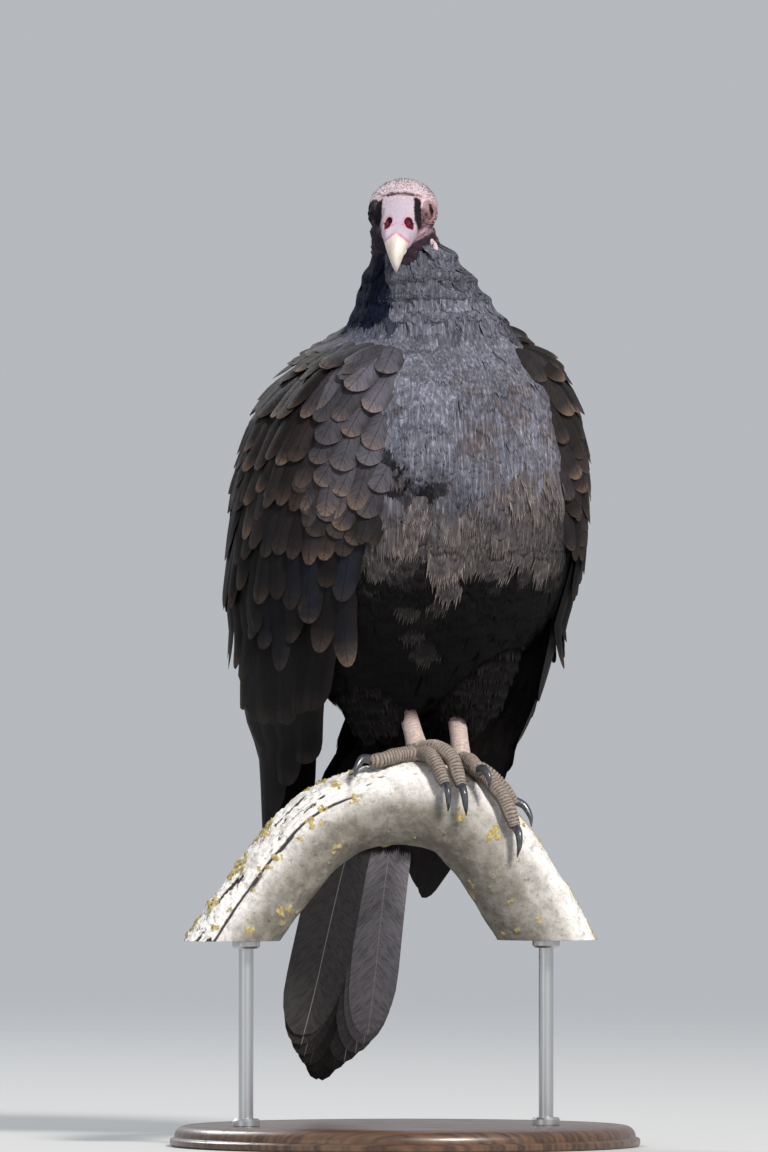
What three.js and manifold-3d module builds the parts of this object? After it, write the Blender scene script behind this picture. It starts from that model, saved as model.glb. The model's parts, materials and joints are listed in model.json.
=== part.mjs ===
// A turkey vulture (Cathartes aura) at life size, standing on a short arched length of branch
// that a plain display stand holds up. Millimetres, +Z up, and the origin lies under the middle
// of the base. The head looks along -Y, and +X is the bird's left.
import * as THREE from 'three';
import { mergeVertices } from 'three/addons/utils/BufferGeometryUtils.js';
import Module from 'manifold-3d';

const wasm = await Module();
wasm.setup();

// ---------------------------------------------------------------- driving dimensions
const GAP = 0.3; // between solids that touch or are cut from each other
const STEEPEST = 0.2; // least share of a corner's move that counts for a face by it

const BASE_RADIUS = 160;
const BASE_THICKNESS = 14;
const BASE_EDGE = 3; // radius of the rounded rim
const ROD_RADIUS = 5;
const ROD_LEFT = [96, 9.5]; // X and Y of the rod under the branch's end on the bird's left
const ROD_RIGHT = [-108, -20];
const PERCH_END_HEIGHT = 140; // both ends of the branch are sawn level here

const BODY_YAW = 26; // degrees that the breast is turned to the bird's left of the view line
const CROWN_HEIGHT = 656;

const HEAD_AT = [-2, -58, CROWN_HEIGHT - 22.6]; // between the eyes, on the middle of the skull
const HEAD_YAW = -5;
const HEAD_PITCH = 18; // degrees that the bill points down
const EYE_RADIUS = 6.3;
const EYE_AT = [3.5, 15.7, 2]; // forward, out and up of the middle of the skull
const NOSTRIL_AT = [29, 0.5]; // forward and up
const NOSTRIL_HALF = [4.6, 2.5]; // half its length and half its height

const TAIL_BASE = [-5, 50, 290];
const TAIL_LENGTH = 282;
const TAIL_SLANT = 24; // degrees from hanging straight down
const TAIL_AZIMUTH = 30; // degrees that it swings to the bird's right of straight back

const COLOURS = {
  plumage: 0x24232a,
  flight: 0x1c1b20,
  tailFeather: 0x4b4a4c,
  skin: 0xb98390,
  horn: 0xe9e4d2,
  eye: 0x1a1412,
  leg: 0xb9a69c,
  toe: 0x8b7f72,
  claw: 0x2e3238,
  bark: 0xa39f99,
  stand: 0x3a2c22,
  rod: 0x9a9da1,
};

// ---------------------------------------------------------------- solids and cuts
const radians = THREE.MathUtils.degToRad;
const point = (x, y, z) => new THREE.Vector3(x, y, z);

// A closed three.js geometry with its doubled corners joined.
const welded = (geometry) => {
  geometry.deleteAttribute('normal');
  geometry.deleteAttribute('uv');
  return mergeVertices(geometry, 1e-4);
};

const solidOf = (geometry) => new wasm.Manifold(new wasm.Mesh({
  numProp: 3,
  vertProperties: new Float32Array(geometry.attributes.position.array),
  triVerts: new Uint32Array(geometry.index.array),
}));

// The same geometry with every corner moved so that each face by it moves out by the distance.
const swollen = (geometry, distance) => {
  const copy = geometry.clone();
  const { position } = copy.attributes;
  const corners = copy.index.array;
  const faces = Array.from({ length: position.count }, () => []);
  const triangle = new THREE.Triangle();
  for (let i = 0; i < corners.length; i += 3) {
    triangle.setFromAttributeAndIndices(position, corners[i], corners[i + 1], corners[i + 2]);
    const normal = triangle.getNormal(point(0, 0, 0));
    const tips = [triangle.a, triangle.b, triangle.c].map((tip) => tip.clone());
    tips.forEach((tip, k) => {
      const one = tips[(k + 1) % 3].clone().sub(tip);
      const other = tips[(k + 2) % 3].clone().sub(tip);
      faces[corners[i + k]].push({ normal, angle: one.angleTo(other) });
    });
  }
  faces.forEach((near, i) => {
    const way = point(0, 0, 0);
    near.forEach(({ normal, angle }) => way.addScaledVector(normal, angle));
    way.normalize();
    const reach = Math.min(...near.map(({ normal }) => normal.dot(way)));
    const at = point(0, 0, 0).fromBufferAttribute(position, i);
    at.addScaledVector(way, distance / Math.max(reach, STEEPEST));
    position.setXYZ(i, at.x, at.y, at.z);
  });
  return copy;
};

// Turns every face over where they point in.
const facingOut = (geometry) => {
  if (solidOf(geometry).volume() < 0) geometry.index.array.reverse();
  return geometry;
};

// A shape keeps its geometry, to be swollen when it cuts a neighbour, and its solid.
const shape = (geometry) => {
  const closed = facingOut(welded(geometry));
  return { geometry: closed, solid: solidOf(closed) };
};

// What is left of a shape when its neighbours, each swollen by the gap, are cut away.
const cutBy = (made, ...neighbours) => {
  let { solid } = made;
  for (const neighbour of neighbours) {
    solid = solid.subtract(solidOf(swollen(neighbour.geometry, GAP)));
  }
  const pieces = solid.decompose();
  pieces.sort((one, other) => other.volume() - one.volume());
  return { geometry: made.geometry, solid: pieces[0] };
};

const geometryOf = (solid) => {
  const mesh = solid.getMesh();
  const geometry = new THREE.BufferGeometry();
  geometry.setAttribute('position', new THREE.BufferAttribute(mesh.vertProperties, 3));
  geometry.setIndex(new THREE.BufferAttribute(mesh.triVerts, 1));
  return geometry;
};

// A closed cylinder whose rings are laid on the stations: place(index, c, s) gives the point of
// ring number index at the cosine c and sine s of the angle round it, or its middle at 0, 0.
const loft = (sides, count, place) => {
  const geometry = new THREE.CylinderGeometry(1, 1, 1, sides, count - 1);
  const { position } = geometry.attributes;
  for (let i = 0; i < position.count; i += 1) {
    const index = Math.round((0.5 - position.getY(i)) * (count - 1));
    const at = place(index, position.getX(i), position.getZ(i));
    position.setXYZ(i, at.x, at.y, at.z);
  }
  return shape(geometry);
};

// The axis that a bent limb turns about, square to the plane of its two ends and its middle.
const hingeOf = (stations) => {
  const at = (share) => point(...stations[Math.round(share * (stations.length - 1))]);
  const start = at(0);
  return at(1).sub(start).cross(at(0.5).sub(start)).normalize();
};

// A limb: round rings, square to a smooth curve through the stations of X, Y, Z and radius.
const limb = (sides, stations, steps) => {
  const curve = new THREE.CatmullRomCurve3(stations.map(([x, y, z]) => point(x, y, z)));
  const spans = stations.length - 1;
  const hinge = hingeOf(stations);
  return loft(sides, steps + 1, (index, c, s) => {
    const t = index / steps;
    const before = Math.min(Math.floor(t * spans), spans - 1);
    const radius = THREE.MathUtils.lerp(
      stations[before][3],
      stations[before + 1][3],
      t * spans - before,
    );
    const along = curve.getTangent(t);
    const over = hinge.clone().cross(along).normalize();
    const across = along.clone().cross(over);
    return curve.getPoint(t)
      .addScaledVector(across, c * radius)
      .addScaledVector(over, s * radius);
  });
};

// ---------------------------------------------------------------- display stand and perch
const disc = (radius, bottom, top, edge, sides) => {
  const profile = [new THREE.Vector2(0, bottom), new THREE.Vector2(radius - edge / 2, bottom)];
  for (let i = 0; i <= 2; i += 1) {
    const angle = (i / 2) * (Math.PI / 2);
    profile.push(new THREE.Vector2(
      radius - edge + edge * Math.cos(angle),
      top - edge + edge * Math.sin(angle),
    ));
  }
  profile.push(new THREE.Vector2(0, top));
  return new THREE.LatheGeometry(profile, sides).rotateX(Math.PI / 2);
};

const base = shape(disc(BASE_RADIUS, 0, BASE_THICKNESS, BASE_EDGE, 36));

// Stations of the arch from its end on the bird's right: X, Y, Z of the axis and the radius.
const ARCH = [
  [-140, -32, 109, 26], [-113, -22, 147, 27], [-86, -14, 184, 27], [-58, -7, 215, 27.5],
  [-26, -2, 230, 27], [8, 0, 232.5, 29], [37, 1, 224, 29], [60, 4, 199, 30],
  [84, 8, 162, 30], [104, 11, 124, 30],
];
const branch = limb(12, ARCH, 16);
const below = shape(new THREE.BoxGeometry(400, 400, 200)
  .translate(0, 0, PERCH_END_HEIGHT - 100 - GAP));
const perch = cutBy(branch, below);

const rod = ([x, y]) => shape(new THREE.CylinderGeometry(
  ROD_RADIUS,
  ROD_RADIUS,
  PERCH_END_HEIGHT - BASE_THICKNESS - 2 * GAP,
  16,
).rotateX(Math.PI / 2).translate(x, y, (PERCH_END_HEIGHT + BASE_THICKNESS) / 2));

// ---------------------------------------------------------------- head
const headTurn = new THREE.Matrix4()
  .makeRotationFromEuler(new THREE.Euler(radians(HEAD_PITCH), 0, radians(HEAD_YAW), 'ZXY'))
  .setPosition(...HEAD_AT);
// A place on the head: forward, out to the bird's left and up of the middle of the skull.
const onHead = (forward, out, up) => point(out, -forward, up).applyMatrix4(headTurn);

// Stations of skull and face: forward, middle height, half width, half height above and below.
const SKULL = [
  [-40.5, -3, 3, 3, 3], [-38.5, -2.5, 8.5, 8.5, 9], [-34, -2, 14, 13.4, 14],
  [-25, -1, 19.4, 17.2, 18], [-14, 0, 22.5, 18.6, 20.5], [-3, -0.5, 23.3, 18.4, 20],
  [6, -2, 20.4, 17, 18.5], [14, -4, 16.4, 15, 15.5], [22, -5, 13, 12.6, 13],
  [30, -6, 11, 10.8, 11.5], [37, -7, 9.8, 9.4, 10], [39, -7, 8.8, 8.6, 9],
];
const skull = loft(14, SKULL.length, (index, c, s) => {
  const [forward, middle, width, above, under] = SKULL[index];
  return onHead(forward, c * width, middle + s * (s > 0 ? above : under));
});

// The ivory tip of the upper bill: forward, up, half width, half depth and the way it points.
const UPPER_BILL = [
  [39.3, -5.4, 8.8, 8.0, 0], [45, -5.6, 8.6, 7.8, 6], [51, -8, 7.4, 7.2, 26],
  [55.6, -12.6, 5.4, 5.6, 52], [57.6, -18, 3.3, 3.9, 78], [57.4, -22, 1.6, 2.1, 98],
  [56.8, -24.8, 0.5, 0.6, 108],
];
const LOWER_BILL = [
  [39.3, -15.2, 7.4, 2.6, 0], [45, -15.6, 6.4, 2.8, 0], [50, -15.4, 4, 2, -8],
  [52.6, -14.8, 1.2, 0.8, -12],
];
const billOf = (stations) => loft(12, stations.length, (index, c, s) => {
  const [forward, up, width, depth, droop] = stations[index];
  const lean = radians(droop);
  return onHead(
    forward + s * depth * Math.sin(lean),
    c * width,
    up + s * depth * Math.cos(lean),
  );
});
const upperBill = billOf(UPPER_BILL);
const lowerBill = billOf(LOWER_BILL);

const ball = (radius, at, across, down) => shape(
  new THREE.SphereGeometry(radius, across, down).translate(at.x, at.y, at.z),
);
const eyeOf = (side) => ball(EYE_RADIUS, onHead(EYE_AT[0], side * EYE_AT[1], EYE_AT[2]), 12, 8);
const eyes = { left: eyeOf(1), right: eyeOf(-1) };

// The nostrils are one opening right through the cere.
const nostril = loft(10, 2, (index, c, s) => onHead(
  NOSTRIL_AT[0] + c * NOSTRIL_HALF[0],
  (index === 0 ? 1 : -1) * 20,
  NOSTRIL_AT[1] + s * NOSTRIL_HALF[1],
));

// ---------------------------------------------------------------- neck and trunk
// Stations of the ruffed neck: X, Y, Z, half width and half depth.
const NECK = [
  [16, -14, 530, 72, 64], [16, -19, 545, 64, 59], [15, -25, 560, 54, 53],
  [11, -32, 576, 44.5, 46], [6, -41, 594, 34.5, 38], [1, -48, 609, 27, 31],
  [-2, -52, 621, 22, 25], [-3, -54, 630, 15, 17],
];
const neck = loft(14, NECK.length, (index, c, s) => {
  const [x, y, z, width, depth] = NECK[NECK.length - 1 - index];
  return point(x + c * width, y + s * depth, z);
});

// The body's own axes: forward out of the breast, and out to the bird's left.
const yaw = radians(BODY_YAW);
const bodyAt = (x, y, z, forward, left) => point(
  x + forward * Math.sin(yaw) + left * Math.cos(yaw),
  y - forward * Math.cos(yaw) + left * Math.sin(yaw),
  z,
);

// Stations of the trunk: X, Y, Z of its middle, half width, half depth before and behind.
const TRUNK = [
  [16, -14, 566, 26, 28, 26], [15, -13, 556, 56, 52, 48], [14, -12, 540, 80, 70, 62],
  [13, -11, 520, 92, 84, 72], [12, -10, 496, 99, 93, 78], [12, -8, 466, 103, 98, 83],
  [12, -5, 436, 105, 99, 86], [12, -1, 406, 106, 96, 85], [10, 5, 376, 101, 88, 81],
  [7, 12, 350, 90, 76, 73], [3, 21, 328, 76, 60, 62], [-1, 31, 308, 58, 42, 50],
  [-4, 41, 293, 38, 26, 36], [-6, 47, 285, 18, 13, 18],
];
const trunk = loft(18, TRUNK.length, (index, c, s) => {
  const [x, y, z, width, before, behind] = TRUNK[index];
  return bodyAt(x, y, z, -s * (s > 0 ? behind : before), c * width);
});

// ---------------------------------------------------------------- wings
// A folded wing's blade: a curved plate round the body's side, drawn level by level. Each level
// holds its height, X and Y of the front edge, X and Y of the back edge, how far the plate
// bulges out between them, and its thickness at the middle.
const EDGE_SHARE = 0.16; // how thick the plate's edges are, of its thickness at the middle
const BLADE_STEPS = 7; // facets from a plate's front edge to its back edge
const blade = (side, levels) => {
  const spans = levels.length - 1;
  const geometry = new THREE.BoxGeometry(1, spans, 1, BLADE_STEPS, spans, 1);
  const { position } = geometry.attributes;
  for (let i = 0; i < position.count; i += 1) {
    const index = Math.round(spans / 2 - position.getY(i));
    const turn = (position.getX(i) + 0.5) * Math.PI;
    const isInner = position.getZ(i) < 0;
    const [z, frontX, frontY, backX, backY, bulge, thickness] = levels[index];
    const half = point((frontX - backX) / 2, (frontY - backY) / 2, 0);
    const out = point(half.y, -half.x, 0).normalize().multiplyScalar(side);
    const swell = Math.sin(turn);
    const deep = isInner ? thickness * (EDGE_SHARE + (1 - EDGE_SHARE) * swell) : 0;
    const at = point((frontX + backX) / 2, (frontY + backY) / 2, z)
      .addScaledVector(half, Math.cos(turn) * (1 - deep / (2 * half.length())))
      .addScaledVector(out, swell * bulge - deep);
    position.setXYZ(i, at.x, at.y, at.z);
  }
  return shape(geometry);
};

const RIGHT_COVERTS = [
  [556, -14, -60, -26, 20, 12, 14], [548, -10, -78, -30, 48, 34, 22],
  [534, -7, -92, -33, 64, 55, 28], [516, -7, -99, -35, 72, 72, 30],
  [494, -7, -103, -36, 77, 86, 32], [458, -12, -105, -40, 83, 91, 32],
  [414, -22, -100, -43, 84, 89, 32], [372, -31, -83, -45, 84, 86, 31],
  [352, -38, -68, -47, 84, 78, 22],
];
const RIGHT_SECONDARIES = [
  [430, -22, -92, -43, 82, 76, 12], [380, -32, -76, -46, 84, 72, 12],
  [349, -39, -62, -49, 85, 70, 12], [321, -43, -38, -53, 88, 65, 12],
  [296, -46, -12, -57, 93, 60, 11], [276, -52, 14, -60, 97, 48, 9],
  [264, -60, 34, -64, 98, 36, 6],
];
const RIGHT_PRIMARIES = [
  [322, -46, -24, -54, 84, 55, 8], [276, -48, 16, -59, 94, 47, 9], [248, -51, 36, -61, 102, 42, 9],
  [218, -57, 50, -65, 110, 35, 8], [190, -64, 68, -69, 118, 26, 8],
  [166, -71, 88, -74, 126, 16, 6], [150, -77, 104, -78, 130, 7, 4],
];
const LEFT_COVERTS = [
  [554, 66, -38, 6, 22, 20, 12], [546, 76, -48, -4, 50, 48, 18],
  [534, 84, -52, -9, 62, 62, 22], [516, 90, -54, -11, 72, 71, 22],
  [494, 96, -53, -12, 80, 76, 22], [458, 104, -47, -14, 86, 75, 22],
  [414, 111, -31, -15, 91, 63, 20], [372, 108, -8, -14, 92, 52, 18],
  [352, 103, 4, -13, 92, 46, 14],
];
const LEFT_SECONDARIES = [
  [430, 104, -34, -15, 86, 58, 10], [380, 104, -8, -14, 88, 46, 10],
  [349, 101, 8, -13, 90, 42, 10], [321, 93, 22, -12, 94, 38, 10],
  [296, 86, 36, -10, 98, 33, 10], [276, 77, 50, -9, 101, 26, 8],
  [264, 66, 62, -9, 102, 18, 5],
];
const LEFT_PRIMARIES = [
  [322, 87, 28, -11, 90, 27, 8], [276, 76, 48, -9, 100, 24, 8], [248, 69, 60, -8, 110, 21, 8],
  [218, 56, 74, -8, 118, 17, 8], [190, 34, 92, -9, 126, 13, 7],
  [164, 16, 108, -11, 132, 8, 6], [142, 2, 122, -10, 134, 3, 4],
];
const wings = {
  right: [RIGHT_COVERTS, RIGHT_SECONDARIES, RIGHT_PRIMARIES]
    .map((levels) => blade(1, levels)),
  left: [LEFT_COVERTS, LEFT_SECONDARIES, LEFT_PRIMARIES]
    .map((levels) => blade(-1, levels)),
};

// ---------------------------------------------------------------- tail
const slant = radians(TAIL_SLANT);
const swing = radians(TAIL_AZIMUTH);
const tailDown = point(
  -Math.sin(slant) * Math.sin(swing),
  Math.sin(slant) * Math.cos(swing),
  -Math.cos(slant),
);
const tailAcross = point(Math.cos(swing), Math.sin(swing), 0);
const tailBack = tailAcross.clone().cross(tailDown).negate();
// Stations of the tail: share of its length, half width, half thickness, and how far its middle
// lies to the bird's right.
const TAIL = [
  [0, 22, 15, 0], [0.12, 29, 14, 0], [0.28, 41, 10, 2], [0.5, 49, 7, 4], [0.66, 52, 5.5, 5],
  [0.8, 49, 5, 5], [0.86, 39, 4.5, 6], [0.91, 26, 4, 9], [0.96, 17, 3.5, 7], [1, 8, 3, 5],
];
const TAIL_ARCH = -7; // how far the tail's middle stands before its edges; below 0 it is behind
const tail = loft(16, TAIL.length, (index, c, s) => {
  const [share, width, thick, right] = TAIL[index];
  return point(...TAIL_BASE)
    .addScaledVector(tailDown, share * TAIL_LENGTH)
    .addScaledVector(tailAcross, c * width - right)
    .addScaledVector(tailBack, -s * thick * Math.sqrt(1.05 - c * c) + TAIL_ARCH * (0.5 - c * c));
});

// ---------------------------------------------------------------- legs and feet
// Each leg: the feathered thigh and the bare tarsus as X, Y, Z and radius, then its four toes,
// each with the way that its claw leaves the toe and the way that it then curls.
const LEGS = {
  right: {
    thigh: [[-28, -14, 386, 36], [-26, 3, 346, 35], [-21, 18, 312, 29], [-14, 31, 284, 19],
      [-9, 38, 270, 8]],
    tarsus: [[-6, 33, 314, 8], [-1, 24, 302, 6.6], [5, 9, 283, 6.2], [9, -1, 268, 7.6],
      [10, -4, 263, 6]],
    toes: {
      hallux: [[8, 2, 267, 5.4], [5, 15, 265, 5], [3, 26, 258, 4.4], [2, 31, 251, 3.6]],
      inner: [[11, -4, 267, 5.6], [17, -17, 266, 5.4], [23, -28, 257, 4.8], [27, -33, 247, 4]],
      middle: [[11, -3, 269, 5.8], [20, -13, 271, 5.6], [30, -23, 266, 5.4], [35, -31, 256, 5],
        [38, -34, 246, 4.2]],
      outer: [[7, -3, 267, 5.6], [-5, -11, 266, 5.2], [-16, -17, 263, 4.8],
        [-23, -19, 261, 4.2]],
    },
    claws: {
      hallux: [[2, 33, 250, 3.2], [1, 38, 245, 2.8], [0, 39, 238, 2], [0, 36, 231, 0.6]],
      inner: [[27.5, -35, 246, 3.4], [29, -40, 241, 3], [29.5, -40, 234, 2.2],
        [29, -35.5, 228, 0.6]],
      middle: [[38.5, -36, 245, 3.6], [40, -41, 240, 3.2], [41, -41, 232, 2.3],
        [41.5, -36, 225, 0.6]],
      outer: [[-24, -19.5, 263, 3.6], [-29, -23, 263, 3.2], [-33, -27, 257, 2.2],
        [-34, -28, 251, 0.6]],
    },
  },
  left: {
    thigh: [[48, 6, 382, 36], [47, 17, 344, 34], [43, 28, 312, 27], [38, 37, 288, 17],
      [35, 41, 276, 8]],
    tarsus: [[34, 38, 306, 8], [35, 28, 294, 6.6], [37, 12, 276, 6.2], [38, 2, 262, 7.4],
      [38, -1, 257, 6]],
    toes: {
      hallux: [[37, 5, 261, 5.4], [35, 17, 258, 5], [34, 27, 250, 4.4], [34, 32, 242, 3.6]],
      inner: [[40, -3, 261, 5.6], [44, -13, 262, 5.4], [48, -22, 258, 4.8], [50, -27, 254, 4]],
      middle: [[43, -2, 258, 5.8], [54, -12, 252, 5.6], [64, -21, 241, 5.4],
        [71, -27, 228, 5], [74, -29, 218, 4.2]],
      outer: [[43, 4, 259, 5.6], [55, 8, 254, 5.2], [67, 10, 243, 4.8], [74, 11, 233, 4.2]],
    },
    claws: {
      hallux: [[34, 34, 241, 3.2], [34, 39, 236, 2.8], [34, 40, 229, 2], [34, 37, 222, 0.6]],
      inner: [[50.5, -29, 256, 3.6], [54, -34, 256, 3.3], [57, -38, 250, 2.4],
        [57, -37, 243, 0.6]],
      middle: [[75, -30, 217, 3.6], [77, -35, 213, 3.2], [77.5, -37, 205, 2.3],
        [76, -34, 197, 0.6]],
      outer: [[75.5, 11, 234, 3.4], [81, 10, 231, 3], [85, 8, 224, 2.1], [86, 6, 217, 0.6]],
    },
  },
};
const legOf = ({ thigh, tarsus, toes, claws }) => ({
  thigh: limb(12, thigh, 6),
  tarsus: limb(8, tarsus, 5),
  toes: Object.entries(toes).map(([name, stations]) => [name, limb(7, stations, 5)]),
  claws: Object.entries(claws).map(([name, stations]) => [name, limb(6, stations, 4)]),
});

// ---------------------------------------------------------------- the model
const group = new THREE.Group();

// A named part, with its own origin at pivot.
const part = (parent, name, made, colour, roughness, pivot = [0, 0, 0], metalness = 0) => {
  const geometry = geometryOf(made.solid);
  geometry.translate(-pivot[0], -pivot[1], -pivot[2]);
  const material = new THREE.MeshStandardMaterial({ color: colour, roughness, metalness });
  const mesh = new THREE.Mesh(geometry, material);
  mesh.name = name;
  mesh.position.set(...pivot);
  parent.add(mesh);
};

const stand = new THREE.Group();
const bird = new THREE.Group();
group.add(stand, bird);

part(stand, 'stand_base', base, COLOURS.stand, 0.5);
part(stand, 'stand_rod_left', rod(ROD_LEFT), COLOURS.rod, 0.35, [...ROD_LEFT, 0], 0.9);
part(stand, 'stand_rod_right', rod(ROD_RIGHT), COLOURS.rod, 0.35, [...ROD_RIGHT, 0], 0.9);
part(stand, 'perch', perch, COLOURS.bark, 0.9, [0, 0, ARCH[5][2]]);

part(bird, 'bill_upper', upperBill, COLOURS.horn, 0.35, HEAD_AT);
part(bird, 'bill_lower', cutBy(lowerBill, upperBill), COLOURS.horn, 0.4, HEAD_AT);
part(bird, 'eye_left', eyes.left, COLOURS.eye, 0.1, HEAD_AT);
part(bird, 'eye_right', eyes.right, COLOURS.eye, 0.1, HEAD_AT);
const face = cutBy(skull, upperBill, lowerBill, eyes.left, eyes.right, nostril);
part(bird, 'head', face, COLOURS.skin, 0.6, HEAD_AT);
part(bird, 'neck', cutBy(neck, skull), COLOURS.plumage, 0.9, [NECK[0][0], NECK[0][1], NECK[0][2]]);

const legs = { right: legOf(LEGS.right), left: legOf(LEGS.left) };
const thighs = [legs.right.thigh, legs.left.thigh];
const limbs = [...thighs, legs.right.tarsus, legs.left.tarsus];
part(bird, 'trunk', cutBy(trunk, neck, ...limbs), COLOURS.plumage, 0.9, [12, -5, 436]);
const tailCut = cutBy(tail, trunk, ...limbs);
part(bird, 'tail', tailCut, COLOURS.tailFeather, 0.8, TAIL_BASE);

for (const [side, [coverts, secondaries, primaries]] of Object.entries(wings)) {
  const wing = new THREE.Group();
  const rows = {
    coverts: cutBy(coverts, neck, trunk),
    secondaries: cutBy(secondaries, coverts, trunk, ...thighs),
    primaries: cutBy(primaries, secondaries, coverts, trunk, tail, ...thighs),
  };
  Object.entries(rows).forEach(([name, row]) => {
    const tint = name === 'coverts' ? COLOURS.plumage : COLOURS.flight;
    part(wing, `wing_${side}_${name}`, row, tint, 0.85);
  });
  bird.add(wing);
}

for (const [side, leg] of Object.entries(legs)) {
  const foot = new THREE.Group();
  const knuckle = LEGS[side].tarsus[3].slice(0, 3);
  const thigh = side === 'left' ? cutBy(leg.thigh, leg.tarsus, legs.right.thigh)
    : cutBy(leg.thigh, leg.tarsus);
  part(foot, `thigh_${side}`, thigh, COLOURS.plumage, 0.9, knuckle);
  part(foot, `tarsus_${side}`, cutBy(leg.tarsus, branch), COLOURS.leg, 0.7, knuckle);
  const placed = [leg.tarsus, branch];
  leg.claws.forEach(([name, claw]) => {
    part(foot, `claw_${side}_${name}`, cutBy(claw, branch), COLOURS.claw, 0.35, knuckle);
    placed.push(claw);
  });
  leg.toes.forEach(([name, toe]) => {
    part(foot, `toe_${side}_${name}`, cutBy(toe, ...placed), COLOURS.toe, 0.75, knuckle);
    placed.push(toe);
  });
  bird.add(foot);
}

export default group;
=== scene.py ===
import json
from math import cos, pi, radians, sin

import bmesh
import bpy
import numpy as np
from mathutils import Matrix, Vector, noise
from mathutils.bvhtree import BVHTree
from mathutils.kdtree import KDTree

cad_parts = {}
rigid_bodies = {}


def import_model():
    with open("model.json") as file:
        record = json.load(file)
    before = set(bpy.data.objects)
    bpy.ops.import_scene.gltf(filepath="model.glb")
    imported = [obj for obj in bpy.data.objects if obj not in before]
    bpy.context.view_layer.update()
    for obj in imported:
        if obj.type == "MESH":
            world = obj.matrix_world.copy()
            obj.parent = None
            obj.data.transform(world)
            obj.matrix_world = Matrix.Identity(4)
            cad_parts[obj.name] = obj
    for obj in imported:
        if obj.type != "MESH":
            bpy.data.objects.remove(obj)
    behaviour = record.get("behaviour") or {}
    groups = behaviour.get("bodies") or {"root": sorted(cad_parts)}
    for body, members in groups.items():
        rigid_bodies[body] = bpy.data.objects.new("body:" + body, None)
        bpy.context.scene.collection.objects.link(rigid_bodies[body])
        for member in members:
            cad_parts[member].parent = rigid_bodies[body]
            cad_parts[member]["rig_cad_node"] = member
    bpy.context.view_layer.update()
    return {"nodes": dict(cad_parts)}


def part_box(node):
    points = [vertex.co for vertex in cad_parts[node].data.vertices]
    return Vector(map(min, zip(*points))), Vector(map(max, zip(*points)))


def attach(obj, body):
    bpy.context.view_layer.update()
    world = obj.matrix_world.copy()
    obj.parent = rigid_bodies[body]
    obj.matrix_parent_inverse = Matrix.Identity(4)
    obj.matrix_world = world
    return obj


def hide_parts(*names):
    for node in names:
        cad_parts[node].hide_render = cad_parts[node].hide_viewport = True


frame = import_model()
MM = 0.001


# ------------------------------------------------------------------ studio
# The room where the model is shown: a pale painted floor that fades into a pale wall, a strong
# lamp high at the front on the right, a broad weak one on the left and a rim lamp behind.
VIEW_HEIGHT = 0.7834
VIEW_MIDDLE = (-0.0143, 0.3876)
CAMERA_DISTANCE = 12
FILM_HEIGHT = 36
CAMERA_SEES = 60
FLOOR_RADIUS = 5
FLOOR_FADES = (4.8, 0.5)  # how far from the middle the floor is gone, and starts to fade
FLOOR_COLOUR = (0.50, 0.50, 0.495, 1)
WALL_COLOUR = (0.80, 0.83, 0.88, 1)
WALL_BRIGHTNESS = 0.58
LAMPS = {  # place, width, power, colour
    "key": ((2.2, -4.1, 3.9), 0.9, 440, (1, 0.965, 0.92)),
    "fill": ((-4.2, -4.4, 1.6), 3.0, 32, (0.88, 0.93, 1)),
    "rim": ((-2.4, 3.4, 3.2), 1.6, 120, (0.93, 0.96, 1)),
}


class Wire:
    """An output of a shader node, on which Python's arithmetic adds Math nodes."""

    def __init__(self, finish, socket):
        self.finish = finish
        self.socket = socket

    def reckon(self, operation, *values):
        return self.finish.node("Math", {"operation": operation}, *values)

    def beside(self, output):
        """Another output of the same node."""
        return Wire(self.finish, self.socket.node.outputs[output])

    def __add__(self, other):
        return self.reckon("ADD", self, other)

    def __sub__(self, other):
        return self.reckon("SUBTRACT", self, other)

    def __rsub__(self, other):
        return self.reckon("SUBTRACT", other, self)

    def __mul__(self, other):
        return self.reckon("MULTIPLY", self, other)

    def __abs__(self):
        return self.reckon("ABSOLUTE", self)

    __radd__ = __add__
    __rmul__ = __mul__

    def rise(self, low, high):
        """0 below low, 1 above high and a smooth step between; falls where low is above high."""
        settings = {"interpolation_type": "SMOOTHSTEP"}
        return self.finish.node("MapRange", settings, self, low, high, 0, 1)


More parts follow.
